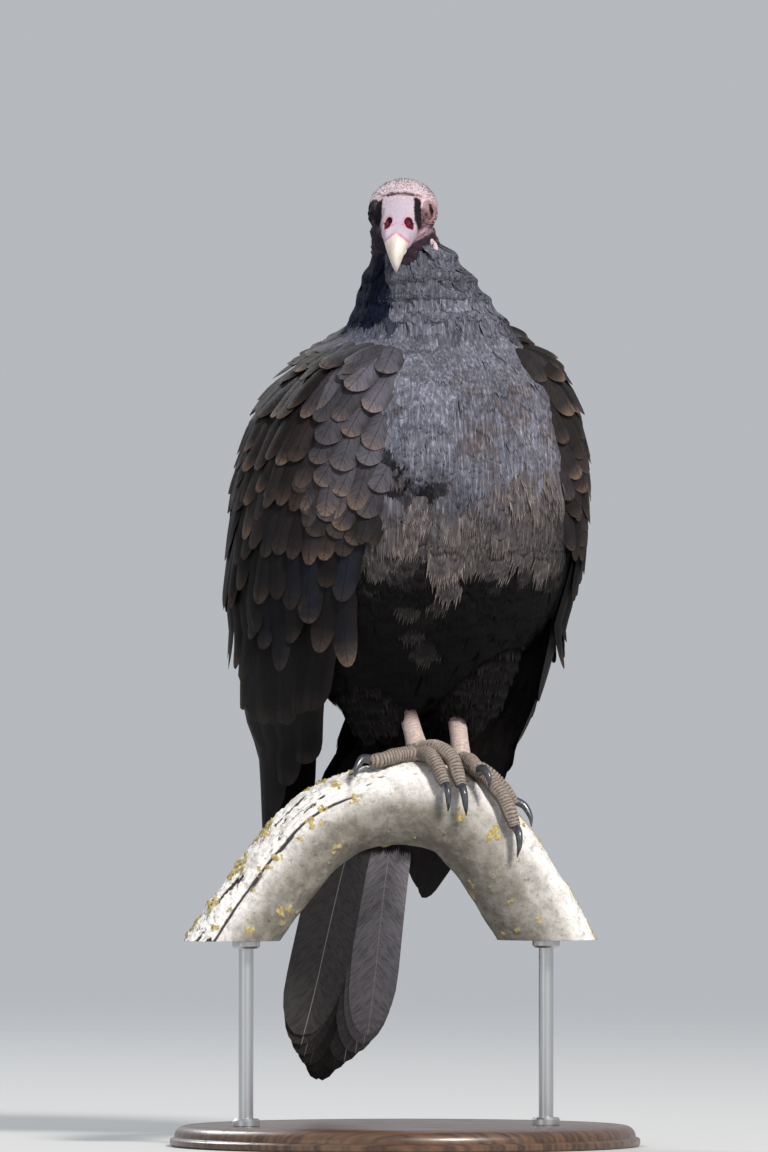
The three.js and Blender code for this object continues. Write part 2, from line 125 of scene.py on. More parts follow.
class Finish:
    """A material, with one method that adds any node and short ones for what is used most."""

    def __init__(self, name, constants):
        self.material = bpy.data.materials.new(name)
        self.material.use_nodes = True
        self.tree = self.material.node_tree
        self.shader = self.tree.nodes["Principled BSDF"]
        for socket, value in constants.items():
            self.shader.inputs[socket].default_value = value

    def node(self, kind, settings, *values, output=0, **named):
        made = self.tree.nodes.new("ShaderNode" + kind)
        for key, value in settings.items():
            setattr(made, key, value)
        for key, value in [*enumerate(values), *named.items()]:
            if isinstance(value, Wire):
                self.tree.links.new(value.socket, made.inputs[key])
            elif value is not None:
                made.inputs[key].default_value = value
        return Wire(self, made.outputs[output])

    def place(self):
        return self.node("TexCoord", {}, output="Object")

    def kept(self, name, output="Fac"):
        """The values that the mesh keeps under a name."""
        return self.node("Attribute", {"attribute_name": name}, output=output)

    def stretched(self, wire, scale):
        return self.node("VectorMath", {"operation": "MULTIPLY"}, wire, scale)

    def noise(self, scale, detail=2, vector=None, roughness=0.5):
        named = {"Scale": scale, "Detail": detail, "Roughness": roughness}
        return self.node("TexNoise", {}, Vector=vector or self.place(), **named)

    def mixed(self, amount, one, other, blend="MIX"):
        """Two colours mixed; the node's colours are its seventh and eighth sockets."""
        settings = {"data_type": "RGBA", "blend_type": blend}
        return self.node("Mix", settings, amount, *[None] * 5, one, other, output=2)

    def drive(self, socket, wire):
        self.tree.links.new(wire.socket, self.shader.inputs[socket])

    def bump(self, height, distance):
        normal = self.node("Bump", {}, Distance=distance, Height=height, output="Normal")
        self.drive("Normal", normal)


def shown(name, mesh):
    piece = bpy.data.objects.new(name, mesh)
    bpy.context.scene.collection.objects.link(piece)
    return piece


film = bpy.data.cameras.new("camera")
film.sensor_fit = "VERTICAL"
film.sensor_height = FILM_HEIGHT
film.lens = FILM_HEIGHT * CAMERA_DISTANCE / VIEW_HEIGHT
film.clip_end = CAMERA_SEES
camera = shown("camera", film)
camera.location = (VIEW_MIDDLE[0], -CAMERA_DISTANCE, VIEW_MIDDLE[1])
camera.rotation_euler = (pi / 2, 0, 0)
bpy.context.scene.camera = camera

for lamp, (place, width, power, colour) in LAMPS.items():
    glow = bpy.data.lights.new(lamp, "AREA")
    glow.size = width
    glow.energy = power
    glow.color = colour
    standing = shown(lamp, glow)
    standing.location = place
    aim = Vector((0, 0, VIEW_MIDDLE[1])) - standing.location
    standing.rotation_euler = aim.to_track_quat("-Z", "Y").to_euler()

world = bpy.data.worlds.new("studio")
world.use_nodes = True
world.node_tree.nodes["Background"].inputs["Color"].default_value = WALL_COLOUR
world.node_tree.nodes["Background"].inputs["Strength"].default_value = WALL_BRIGHTNESS
bpy.context.scene.world = world
bpy.context.scene.view_settings.view_transform = "Standard"

floor_form = bmesh.new()
bmesh.ops.create_circle(floor_form, cap_ends=True, segments=96, radius=FLOOR_RADIUS)
floor_mesh = bpy.data.meshes.new("floor")
floor_form.to_mesh(floor_mesh)
floor = shown("floor", floor_mesh)
painted = Finish("floor_paint", {"Base Color": FLOOR_COLOUR, "Roughness": 0.7})
spread = painted.node("VectorMath", {"operation": "LENGTH"}, painted.place(), output="Value")
painted.drive("Alpha", spread.rise(*FLOOR_FADES))
floor_mesh.materials.append(painted.material)


# ------------------------------------------------------------------ display stand
# A turned disc of dark oiled walnut with a moulded rim, and two steel rods set in it with small
# collars. The rods stand up into holes in the sawn ends of the branch.
RIM_SIDES = 160
GRAIN_LENGTH = 9  # how much longer than wide the figure of the wood is
COLLAR_RADIUS = 9.5 * MM
COLLAR_HEIGHT = 5 * MM
MOULDING = (  # in from the rim and up from the floor, in millimetres
    (5, 0), (1, 0.4), (0, 1.6), (0, 4.6), (0.9, 5.6), (2.6, 6.1),
)
COVE_AT = (3, 6.4)  # where the hollow part of the rim starts, in from the rim and up
COVE_STEPS = 9
GROOVE = ((13, 0), (14, 0.5), (15.4, 0.5), (16.4, 0))  # in from the rim and down from the top
WALNUT_DARK = (0.035, 0.017, 0.009, 1)
WALNUT_PALE = (0.115, 0.058, 0.030, 1)
STEEL = (0.56, 0.57, 0.58, 1)


def piece_of(name, points, *faces):
    """A smooth mesh object from its corners and from arrays of triangles or quads."""
    mesh = bpy.data.meshes.new(name)
    mesh.vertices.add(len(points))
    mesh.vertices.foreach_set("co", np.asarray(points, np.float32).ravel())
    corners = np.concatenate([part.ravel() for part in faces]).astype(np.int32)
    counts = np.concatenate([np.full(len(part), part.shape[1]) for part in faces])
    mesh.loops.add(len(corners))
    mesh.loops.foreach_set("vertex_index", corners)
    mesh.polygons.add(len(counts))
    starts = np.concatenate([[0], np.cumsum(counts)[:-1]]).astype(np.int32)
    mesh.polygons.foreach_set("loop_start", starts)
    mesh.polygons.foreach_set("use_smooth", np.ones(len(counts), bool))
    mesh.update(calc_edges=True)
    return shown(name, mesh)


def lofted(name, rings):
    """A closed skin over rings of points, with both ends closed on their middles."""
    rings = np.asarray(rings, float)
    count, sides = rings.shape[:2]
    corner = np.arange(count * sides).reshape(count, sides)
    beside = np.roll(corner, -1, axis=1)
    walls = np.stack([corner[:-1], beside[:-1], beside[1:], corner[1:]], axis=-1).reshape(-1, 4)
    first, last = count * sides, count * sides + 1
    start = np.stack([beside[0], corner[0], np.full(sides, first)], axis=-1)
    end = np.stack([corner[-1], beside[-1], np.full(sides, last)], axis=-1)
    points = np.vstack([rings.reshape(-1, 3), rings[0].mean(axis=0), rings[-1].mean(axis=0)])
    piece = piece_of(name, points, walls, np.vstack([start, end]))
    form = bmesh.new()
    form.from_mesh(piece.data)
    if form.calc_volume(signed=True) < 0:
        bmesh.ops.reverse_faces(form, faces=form.faces)
        form.to_mesh(piece.data)
    form.free()
    return piece


def once_round(sides):
    return np.linspace(0, 2 * pi, sides, endpoint=False)


def turned(name, profile, sides):
    """A solid of revolution about Z over pairs of radius and height."""
    turn = once_round(sides)
    return lofted(name, [
        np.stack([radius * np.cos(turn), radius * np.sin(turn), np.full(sides, height)], axis=-1)
        for radius, height in profile
    ])


def dressed(piece, finish, slot, *nodes):
    """The piece with its material, riding on the still model and standing for the nodes."""
    piece.data.materials.clear()
    piece.data.materials.append(finish.material)
    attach(piece, "root")
    if nodes:
        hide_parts(*nodes)
    return piece


def set_sharp(piece, degrees):
    piece.data.set_sharp_from_angle(angle=radians(degrees))


low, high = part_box("stand_base")
rim, top = high.x, high.z
walnut = Finish("oiled_walnut", {"Coat Weight": 0.35, "Coat Roughness": 0.22})
figure = walnut.stretched(walnut.place(), (6, 6 * GRAIN_LENGTH, 6))
waves = walnut.noise(2.2, 4, figure) * 5 + walnut.noise(14, 6, figure) * 0.8
rings = abs(walnut.node("Math", {"operation": "FRACT"}, waves) - 0.5) * 2
pores = walnut.noise(240, 3, walnut.stretched(walnut.place(), (0.12, 1, 1))).rise(0.60, 0.72)
walnut.drive("Base Color", walnut.mixed(
    pores * 0.7, walnut.mixed(rings, WALNUT_DARK, WALNUT_PALE), WALNUT_DARK))
walnut.drive("Roughness", 0.38 + pores * 0.3)
walnut.bump(rings * 0.3 - pores, 0.00012)
profile = [(rim * 0.3, 0)] + [(rim - inward * MM, up * MM) for inward, up in MOULDING]
inward, up = np.array(COVE_AT) * MM
for step in range(COVE_STEPS):
    lean = step / (COVE_STEPS - 1) * pi / 2
    reach = top - up
    profile.append((rim - inward - reach * (1 - cos(lean)), up + reach * sin(lean)))
profile += [(rim - inward * MM, top - down * MM) for inward, down in GROOVE]
profile += [(rim * 0.6, top), (rim * 0.2, top)]
plinth = turned("stand_plinth", profile, RIM_SIDES)
set_sharp(plinth, 32)
dressed(plinth, walnut, "stand_wood", "stand_base")

steel = Finish("brushed_steel", {"Base Color": STEEL, "Metallic": 1})
scratches = steel.noise(60, 3, steel.stretched(steel.place(), (40, 40, 1)))
steel.drive("Roughness", 0.24 + scratches * 0.2)
steel.bump(scratches, 0.00004)
for side in ("left", "right"):
    low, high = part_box(f"stand_rod_{side}")
    radius = (high.x - low.x) / 2
    profile = [(radius * 0.8, low.z), (radius, low.z)]
    for foot, sign in ((low.z, 1), (high.z, -1)):
        collar = [(COLLAR_RADIUS, 0), (COLLAR_RADIUS, 0.7), (COLLAR_RADIUS - 1.2 * MM, 1)]
        collar = [(r, foot + sign * share * COLLAR_HEIGHT) for r, share in collar]
        collar.append((radius, foot + sign * COLLAR_HEIGHT))
        profile += collar[::sign]
    profile += [(radius, high.z), (radius * 0.8, high.z)]
    rod = turned(f"stand_rod_{side}_steel", profile, 48)
    rod.data.transform(Matrix.Translation(((low.x + high.x) / 2, (low.y + high.y) / 2, 0)))
    set_sharp(rod, 30)
    dressed(rod, steel, "stand_steel", f"stand_rod_{side}")


# ------------------------------------------------------------------ perch
# A short arched length of dead oak, grey and smooth where the bark is tight, split and pitted
# along its outer side, and crusted with ochre lichen. Both ends are sawn level over the rods.
ARCH = np.array([  # X, Y, Z and radius, from the end on the bird's right
    (-140, -32, 109, 26), (-113, -22, 147, 27), (-86, -14, 184, 27), (-58, -7, 215, 27.5),
    (-26, -2, 230, 27), (8, 0, 232.5, 29), (37, 1, 224, 29), (60, 4, 199, 30),
    (84, 8, 162, 30), (104, 11, 124, 30),
]) * MM
ARCH_RINGS = 470
ARCH_SIDES = 168
SAWN_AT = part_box("perch")[0].z
CRACK_DEPTH = 1.7 * MM
LICHEN_HEIGHT = 0.9 * MM
BARK_PALE = (0.82, 0.795, 0.765, 1)
BARK_GREY = (0.47, 0.45, 0.43, 1)
BARK_DARK = (0.040, 0.033, 0.028, 1)
# The colour of the painted shade under the branch.
BARK_PAINTED_SHADE = (0.120, 0.106, 0.080, 1)
LICHEN_OCHRE = (0.31, 0.220, 0.070, 1)
LICHEN_YELLOW = (0.42, 0.37, 0.18, 1)


def through(stations, count):
    """Rows on one smooth curve through the stations."""
    rows = np.asarray(stations, float)
    rows = np.vstack([2 * rows[0] - rows[1], rows, 2 * rows[-1] - rows[-2]])
    spans = len(rows) - 3
    at = np.linspace(0, spans, count)
    step = np.minimum(at.astype(int), spans - 1)
    part = (at - step)[:, None]
    before, start, end, after = (rows[step + k] for k in range(4))
    return 0.5 * (2 * start + (end - before) * part
                  + (2 * before - 5 * start + 4 * end - after) * part ** 2
                  + (3 * start - before - 3 * end + after) * part ** 3)


def unit(vectors):
    return vectors / np.maximum(np.linalg.norm(vectors, axis=-1, keepdims=True), 1e-12)


def run_of(line):
    """How far along a line each of its points lies."""
    return np.cumsum(np.linalg.norm(np.diff(line, axis=0, prepend=line[:1]), axis=1))


def limb_frame(line):
    """Across and over at each point of a bent limb: over turns out of its bend."""
    along = unit(np.gradient(line, axis=0))
    hinge = unit(np.cross(line[-1] - line[0], line[len(line) // 2] - line[0]))
    over = unit(np.cross(hinge, along))
    return np.cross(along, over), over


def spokes(turn, across, over, wide=1, high=1):
    """For each point of a bent limb the ways out to a ring round it, at the angles of turn."""
    return (np.cos(turn)[None, :, None] * across[:, None] * wide
            + (np.sin(turn) * high)[None, :, None] * over[:, None])


def clouds(points, scale, octaves, seed):
    """Fractal noise from about -1 to 1 at each point."""
    shift = Vector((seed * 7.3, seed * 3.1, seed * 5.7))
    flat = np.asarray(points, float).reshape(-1, 3) * scale
    made = [noise.fractal(Vector(at) + shift, 0.6, 2.1, octaves) for at in flat.tolist()]
    return np.array(made).reshape(np.shape(points)[:-1])


def ease(values, low, high):
    """0 at low, 1 at high and a smooth step between."""
    share = np.clip((np.asarray(values, float) - low) / (high - low), 0, 1)
    return share * share * (3 - 2 * share)


def hill(values, middle, width):
    return np.exp(-((values - middle) / width) ** 2)


def keep_values(piece, **values):
    """Each set of numbers as an attribute of the piece's corners, for its material."""
    for name, numbers in values.items():
        numbers = np.asarray(numbers, np.float32)
        form = "FLOAT_COLOR" if numbers.ndim == 2 else "FLOAT"
        layer = piece.data.attributes.new(name, form, "POINT")
        if numbers.ndim == 2:
            numbers = np.hstack([numbers, np.ones((len(numbers), 1), np.float32)])
        layer.data.foreach_set("color" if form == "FLOAT_COLOR" else "value", numbers.ravel())


def corners_of(piece):
    places = np.empty(len(piece.data.vertices) * 3, np.float32)
    piece.data.vertices.foreach_get("co", places)
    return places.reshape(-1, 3).astype(float)


arch = through(ARCH, ARCH_RINGS)
across, over = limb_frame(arch[:, :3])
turn = once_round(ARCH_SIDES)
length = run_of(arch[:, :3])
spun = spokes(turn, across, over)
smooth_bark = arch[:, None, :3] + spun * arch[:, None, 3:]
ribbon = np.stack(np.broadcast_arrays(  # the bark rolled out, so that noise runs along it
    np.cos(turn)[None], np.sin(turn)[None], length[:, None] * 9), axis=-1)
outer = hill(turn, radians(75), radians(48))[None] * ease(-arch[:, 0], -10 * MM, 25 * MM)[:, None]
lumps = clouds(smooth_bark, 28, 2, 1)
grit = clouds(smooth_bark, 260, 4, 2)
streaks = clouds(ribbon * (9, 9, 1.5), 1, 4, 3)
splits = ease(-abs(streaks), -0.075, -0.01) * ease(outer, 0.25, 0.7)
long_split = hill(turn[None] - 0.42 - 0.10 * np.sin(length * 22)[:, None], 0, 0.045)
long_split = long_split * ease(-arch[:, 0], 15 * MM, 45 * MM)[:, None]
pits = ease(clouds(ribbon * (5, 5, 5), 1, 2, 4), 0.34, 0.54) * ease(outer, 0.15, 0.5)
crack = np.clip(splits * 0.8 + long_split + pits, 0, 1)
patches = clouds(smooth_bark, 62, 3, 5)
crust_side = np.clip(0.75 * hill(turn, radians(98), radians(34))[None]
                     + 0.30 * hill(turn, radians(-50), radians(35))[None]
                     * ease(arch[:, 0], 20 * MM, 60 * MM)[:, None], 0, 1)
crust = ease(patches + crust_side * 0.75, 0.52, 0.70) * ease(grit, -0.5, 0.1)
relief = lumps * 1.3 * MM + grit * (0.22 + 1.1 * outer) * MM - crack * CRACK_DEPTH
relief += crust * LICHEN_HEIGHT * (0.7 + 0.8 * grit)
perch = lofted("perch_branch", smooth_bark + spun * relief[..., None])
# Painted shade: the underside of the branch, and the lower inner side of its end on the bird's
# left, are darkened as if in shadow; the attribute under carries this painted shade.
painted_shade_below = ease(-np.sin(turn), -0.62, 0.30)[None]
painted_shade_left_end = 0.70 * ease(arch[:, :1], -5 * MM, 45 * MM) * ease(-np.sin(turn), -0.75, -0.2)[None]
under = np.broadcast_to(np.maximum(painted_shade_below, painted_shade_left_end), crack.shape)
bark_values = {"crack": crack, "crust": crust, "under": under}
keep_values(perch, **{name: np.append(values.ravel(), (0, 0))
                      for name, values in bark_values.items()})
form = bmesh.new()
form.from_mesh(perch.data)
everything = form.verts[:] + form.edges[:] + form.faces[:]
cut = bmesh.ops.bisect_plane(
    form, geom=everything, plane_co=(0, 0, SAWN_AT), plane_no=(0, 0, 1), clear_inner=True)
edges = [found for found in cut["geom_cut"] if isinstance(found, bmesh.types.BMEdge)]
for face in bmesh.ops.holes_fill(form, edges=edges, sides=0)["faces"]:
    face.smooth = False
form.to_mesh(perch.data)
form.free()
bark = Finish("lichened_bark", {"Specular IOR Level": 0.3})
crack_at = bark.kept("crack")
crust_at = bark.kept("crust")
painted_shade_at = bark.kept("under")
mottle = bark.noise(85, 5, roughness=0.65)
speckle = bark.noise(900, 3)
fleck = bark.noise(330, 4, roughness=0.7)
pale_at = mottle.rise(0.30, 0.62) * 0.6 + fleck.rise(0.38, 0.60) * 0.4
grey = bark.mixed(pale_at, BARK_GREY, BARK_PALE)
# Painted shade on the underside of the branch and on its left end.
grey = bark.mixed(painted_shade_at * (0.80 + 0.14 * mottle.rise(0.65, 0.35)), grey, BARK_PAINTED_SHADE)
grey = bark.mixed(bark.noise(190, 5, roughness=0.7).rise(0.56, 0.68) * 0.45, grey, BARK_DARK)
grey = bark.mixed(fleck.rise(0.58, 0.70) * 0.35, grey, BARK_DARK)
grey = bark.mixed(speckle.rise(0.60, 0.72) * 0.35, grey, BARK_DARK)
grey = bark.mixed(crack_at.rise(0.25, 0.8), grey, BARK_DARK)
gold = bark.mixed(bark.noise(420, 3).rise(0.40, 0.62), LICHEN_OCHRE, LICHEN_YELLOW)
bark.drive("Base Color", bark.mixed(crust_at.rise(0.15, 0.55), grey, gold))
bark.drive("Roughness", 0.78 + speckle * 0.2)
bark.bump(speckle * 0.6 + bark.noise(320, 4) * 0.8, 0.0004)
dressed(perch, bark, "bark", "perch")


# ------------------------------------------------------------------ skin
# The bird's whole skin in one: the bare wrinkled head with its pierced nostrils, the feathered
# neck, trunk, thighs and upper wings drawn in by the depth of the plumage, and the bare scaly
# legs and toes. Its parts are made each at their own fineness and joined into one closed surface.
HEAD_AT = Vector((-2, -58, 633.4)) * MM
HEAD_TURN = Matrix.Rotation(radians(-5), 3, "Z") @ Matrix.Rotation(radians(18), 3, "X")
EYE_AT = (3.5, 15.7, 2)
EYE_RADIUS = 6.3
EYE_SUNK = 0.9  # how far the glass and its lids lie in from the socket's middle
LID_OPENING = (4.4, 4.3)  # half its length and half its height
LID_CENTRE = (EYE_AT[0] + 0.3, EYE_AT[2] + 0.8)
LID_DEPTH = 0.9
RIGHT_LIDS = 0.62  # how far the right eye is open, beside the left one
EYE_OVAL = 1.12  # how much longer than high the folds round the eye are
WRINKLE_PITCH = 2.15  # from one of these folds to the next
WRINKLE_START = 7.4
NOSTRIL_AT = (30.2, 6.9, 2.0)
NOSTRIL_HALF = (6.4, 3.0, 4.2)
BORE_HALF = (4.2, 1.9)  # the hole that goes right through from side to side
BORE_DROP = 2.4
HEAD_VOXEL = 0.45 * MM
FOOT_VOXEL = 0.5 * MM
BODY_VOXEL = 4 * MM
COAT_DEPTH = 6 * MM
FLESH = ["neck", "trunk", "thigh_left", "thigh_right", "wing_left_coverts",
         "wing_right_coverts"]
SKULL = (  # forward, middle height, half width, half height above and below, in millimetres
    (-40.5, -3, 3, 3, 3), (-38.5, -2.5, 8.5, 8.5, 9), (-34, -2, 14, 13.4, 14),
    (-25, -1, 19.4, 17.2, 18), (-14, 0, 22.5, 18.6, 20.5), (-3, -0.5, 23.3, 18.4, 20),
    (6, -2, 20.4, 17, 18.5), (14, -4, 16.4, 15, 15.5), (22, -5, 13, 12.6, 13),
    (30, -6, 11, 10.8, 11.5), (37, -7, 9.8, 9.4, 10), (39.2, -7, 8.8, 8.6, 9),
)
THROAT = (  # X, Y, Z, half width and half depth of the bare neck under the head
    (10, -33, 575, 28, 28), (5, -42, 590, 27, 30), (2, -48, 603, 24.5, 28), (0, -51, 614, 23, 25),
    (-2, -53, 624, 21, 22), (-3, -55, 634, 15, 16),
)
LEGS = {  # X, Y, Z and radius of the shank and of each toe, in millimetres
    "right": {
        "shank": ((-6, 33, 314, 8), (-1, 24, 302, 6.6), (5, 9, 283, 6.2), (9, -1, 268, 7.4),
                  (10, -4, 264, 5.5)),
        "hallux": ((8, 2, 267, 5.2), (5, 15, 265, 4.9), (3, 26, 258, 4.4), (2, 32, 250.5, 3.5)),
        "inner": ((11, -4, 267, 5.4), (17, -17, 266, 5.2), (23, -28, 257, 4.7),
                  (27, -34, 246.5, 3.8)),
        "middle": ((11, -3, 269, 5.6), (20, -13, 271, 5.4), (30, -23, 266, 5.2),
                   (35, -31, 256, 4.8), (38, -35, 245.5, 3.9)),
        "outer": ((7, -3, 267, 5.4), (-5, -11, 266, 5), (-16, -17, 263, 4.7),
                  (-24, -19.5, 262, 3.9)),
    },
    "left": {
        "shank": ((34, 38, 306, 8), (35, 28, 294, 6.6), (37, 12, 276, 6.2), (38, 2, 262, 7.2),
                  (38, -1, 258, 5.5)),
        "hallux": ((37, 5, 261, 5.2), (35, 17, 258, 4.9), (34, 27, 250, 4.4), (34, 33, 241.5, 3.5)),
        "inner": ((40, -3, 261, 5.4), (44, -13, 262, 5.2), (48, -22, 258, 4.7),
                  (50, -28, 254.5, 3.8)),
        "middle": ((43, -2, 258, 5.6), (54, -12, 252, 5.4), (64, -21, 241, 5.2),
                   (71, -27, 228, 4.8), (74.5, -29.5, 217.5, 3.9)),
        "outer": ((43, 4, 259, 5.4), (55, 8, 254, 5), (67, 10, 243, 4.7), (74.5, 11, 232.5, 3.9)),
    },
}
WATTLE = (  # X, Y, Z and radius, in millimetres
    (19.6, -66, 614, 0.6), (20.2, -68, 612, 1.3), (20.6, -69.5, 609, 1.8),
    (20.4, -70.2, 606.5, 1.4), (20.2, -70.4, 605.3, 0.5),
)
THROAT_PITCH = 5.5  # millimetres from one sagging fold of the throat to the next
SCUTE_PITCH = 2.3  # millimetres from one ring scale of a toe to the next
HEAD_RINGS, HEAD_SIDES = 170, 150
THROAT_RINGS, THROAT_SIDES = 60, 60
WATTLE_RINGS, WATTLE_SIDES = 14, 16
LIMB_RINGS, LIMB_SIDES = 110, 48
FUNNEL_RINGS, FUNNEL_SIDES = 24, 32
CROWN_PINK = (0.54, 0.43, 0.475)
FLESH_PINK = (0.34, 0.20, 0.225)
CERE_LAVENDER = (0.405, 0.335, 0.395)
CERE_PINK = (0.43, 0.285, 0.35)
NOSTRIL_RED = (0.085, 0.004, 0.012)
RIM_PINK = (0.48, 0.11, 0.20)
UNDER_EYE = (0.030, 0.018, 0.020)
BROW_FLUSH = (0.46, 0.21, 0.20)
CROWN_PALE = (0.68, 0.57, 0.58)
CROWN_FLECK = (0.060, 0.040, 0.050)
LORE_BLACK = (0.006, 0.0045, 0.006)
CHEEK_PURPLE = (0.024, 0.015, 0.024)
WRINKLE_DARK = (0.075, 0.038, 0.045)
LID_BROWN = (0.22, 0.115, 0.115)
WATTLE_PINK = (0.52, 0.38, 0.41)
SHANK_PALE = (0.50, 0.40, 0.365)
SHANK_PURPLE = (0.15, 0.075, 0.085)
TOE_BROWN = (0.135, 0.108, 0.088)
SCUTE_PALE = (0.27, 0.235, 0.195)
GROOVE_DARK = (0.060, 0.042, 0.034)
UNDER_PLUMAGE = (0.022, 0.020, 0.023)
STUBBLE_SHADE = (0.06, 0.03, 0.04, 1)


def on_head(forward, out, up):
    """Places on the head from millimetres forward, to the bird's left and up of its middle."""
    local = np.stack(np.broadcast_arrays(out, -np.asarray(forward, float), up), axis=-1) * MM
    return local @ np.array(HEAD_TURN).T + np.array(HEAD_AT)


def in_head(points):
    """Forward, out to the bird's left and up, in millimetres, of places on the head."""
    local = (np.asarray(points) - np.array(HEAD_AT)) @ np.array(HEAD_TURN) / MM
    return -local[:, 1], local[:, 0], local[:, 2]


def remeshed(name, pieces, voxel):
    """The pieces as one closed surface of small even squares; the pieces are used up."""
    form = bmesh.new()
    for piece in pieces:
        form.from_mesh(piece.data)
    mesh = bpy.data.meshes.new(name)
    form.to_mesh(mesh)
    form.free()
    for piece in pieces:
        if "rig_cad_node" not in piece:
            bpy.data.objects.remove(piece)
    made = shown(name, mesh)
    change = made.modifiers.new("remesh", "REMESH")
    change.mode = "VOXEL"
    change.voxel_size = voxel
    change.use_smooth_shade = True
    return settled(made)


def settled(piece):
    """The piece with its modifiers worked into its mesh."""
    graph = bpy.context.evaluated_depsgraph_get()
    mesh = bpy.data.meshes.new_from_object(piece.evaluated_get(graph))
    piece.modifiers.clear()
    piece.data = mesh
    return piece


def combined(piece, other, operation):
    """The piece joined with the other or cut by it; the other is used up."""
    change = piece.modifiers.new("combine", "BOOLEAN")
    change.operation = operation
    change.object = other
    change.solver = "MANIFOLD"
    settled(piece)
    bpy.data.objects.remove(other)
    return piece


def move_to(piece, points):
    piece.data.vertices.foreach_set("co", np.asarray(points, np.float32).ravel())
    piece.data.update()
    return piece


def normals_of(piece):
    facing = np.empty(len(piece.data.vertices) * 3, np.float32)
    piece.data.vertices.foreach_get("normal", facing)
    return facing.reshape(-1, 3).astype(float)


def eye_distance(forward, up):
    return np.hypot(forward - EYE_AT[0], (up - EYE_AT[2]) * EYE_OVAL)


def lid_distance(forward, up):
    """0 in the middle of the opening between the lids and 1 at its edge."""
    return np.hypot((forward - LID_CENTRE[0]) / LID_OPENING[0],
                    (up - LID_CENTRE[1]) / LID_OPENING[1])


def cere_fold(forward):
    """How far out the raised fold along the top of the cere runs."""
    return 6.6 - 4.2 * ease(forward, 32.5, 38.5)


# The head is a loft through the stations, bored by the nostrils and then shaped by its features.
stations = through(SKULL, HEAD_RINGS)
turn = once_round(HEAD_SIDES)
deep = np.where(np.sin(turn) > 0, stations[:, 3:4], stations[:, 4:5])
head = lofted("bare_head", on_head(
    stations[:, :1], np.cos(turn) * stations[:, 2:3], stations[:, 1:2] + np.sin(turn) * deep))
turn = once_round(FUNNEL_SIDES)
bore = [on_head(NOSTRIL_AT[0] + np.cos(turn) * BORE_HALF[0], out,
                NOSTRIL_AT[2] - BORE_DROP + np.sin(turn) * BORE_HALF[1]) for out in (-14, 14)]
head = combined(head, lofted("nostril_bore", bore), "DIFFERENCE")
for side in (-1, 1):
    sweep = np.linspace(0.04, pi - 0.04, FUNNEL_RINGS)
    funnel = [on_head(
        NOSTRIL_AT[0] + np.cos(turn) * sin(lean) * NOSTRIL_HALF[0],
        side * NOSTRIL_AT[1] + NOSTRIL_HALF[1] * cos(lean) * side,
        NOSTRIL_AT[2] + np.sin(turn) * sin(lean) * NOSTRIL_HALF[2]) for lean in sweep]
    head = combined(head, lofted("nostril_funnel", funnel), "DIFFERENCE")
head = remeshed("bare_head", [head], HEAD_VOXEL)
places = corners_of(head)
forward, out, up = in_head(places)
beside = np.abs(out)
sign = np.sign(out)
wart = clouds(places, 620, 3, 11)
fold = clouds(places * (1, 1, 1.6), 260, 3, 12)
from_eye = eye_distance(forward, up)
opening = lid_distance(forward, up) / np.where(out < 0, RIGHT_LIDS, 1)
on_side = ease(beside, 9, 14)
lid_reach = EYE_RADIUS + LID_DEPTH
lid = EYE_AT[1] - EYE_SUNK + np.sqrt(np.clip(lid_reach ** 2 - from_eye ** 2, 0, None))
near_eye = ease(-from_eye, -9.5, -6.2) * on_side
lid_edge = 0.35 * hill(opening, 1.13, 0.16)
wanted = np.where(opening < 1, EYE_AT[1] - 1.5, np.minimum(lid + lid_edge, beside + 2.0))
wanted = np.where(opening < 1, wanted, np.maximum(wanted, beside - 1.9))
beside = beside + (wanted - beside) * near_eye
ripple = np.cos((from_eye - WRINKLE_START) / WRINKLE_PITCH * 2 * pi + fold * 1.2)
pleats = ease(from_eye, 6.6, 8) * ease(-from_eye, -15, -10) * ease(-(up - EYE_AT[2]), 0, 4)
beside += on_side * 0.42 * ripple * pleats * (0.6 + 0.8 * ease(fold, -0.3, 0.3))
lore = hill(forward, 14.5, 4.2) * hill(up, 1.0, 9.5) * on_side
beside -= 2.0 * lore
beside += 1.7 * hill(forward, 15, 6.5) * hill(up, -9.5, 3.6) * on_side
beside -= 1.1 * hill(up + 0.10 * forward, -13.2 + 0.5 * fold, 1.0) * ease(forward, 4, 12) * on_side
beside += 0.8 * hill(forward, -4, 5) * hill(up, 13.5, 2.4)
crown = ease(up, 4, 10)
crease = hill(forward + 0.03 * out ** 2 + 1.2 * fold, 6.2, 1.0) * crown
crease *= ease(-np.abs(out), -17, -11)
crease += 0.55 * hill(forward + 0.02 * out ** 2 + 1.5 * fold, 2.4, 0.8) * crown
up = up - 1.15 * crease
cere = ease(forward, 9, 15)
fold_line = np.abs(beside - cere_fold(forward))
fold_up = 0.75 * np.exp(-(fold_line / 0.9) ** 2) * ease(forward, 31.5, 33.5) * ease(up, -3, 1)
up = up + fold_up
rim_at = np.hypot((forward - NOSTRIL_AT[0]) / NOSTRIL_HALF[0],
                  (beside - NOSTRIL_AT[1]) / NOSTRIL_HALF[1])
rim_up = hill(rim_at, 1.22, 0.16) * ease(up, -3, 0)
up = up + 0.45 * rim_up
beside = beside + 0.25 * rim_up
places = on_head(forward, sign * beside, up)
rough = (1 - 0.85 * cere) * (0.25 + 0.75 * ease(from_eye, 6, 8))
places += normals_of(head) * ((wart * 0.26 + fold * 0.34) * rough * MM)[:, None]
move_to(head, places)

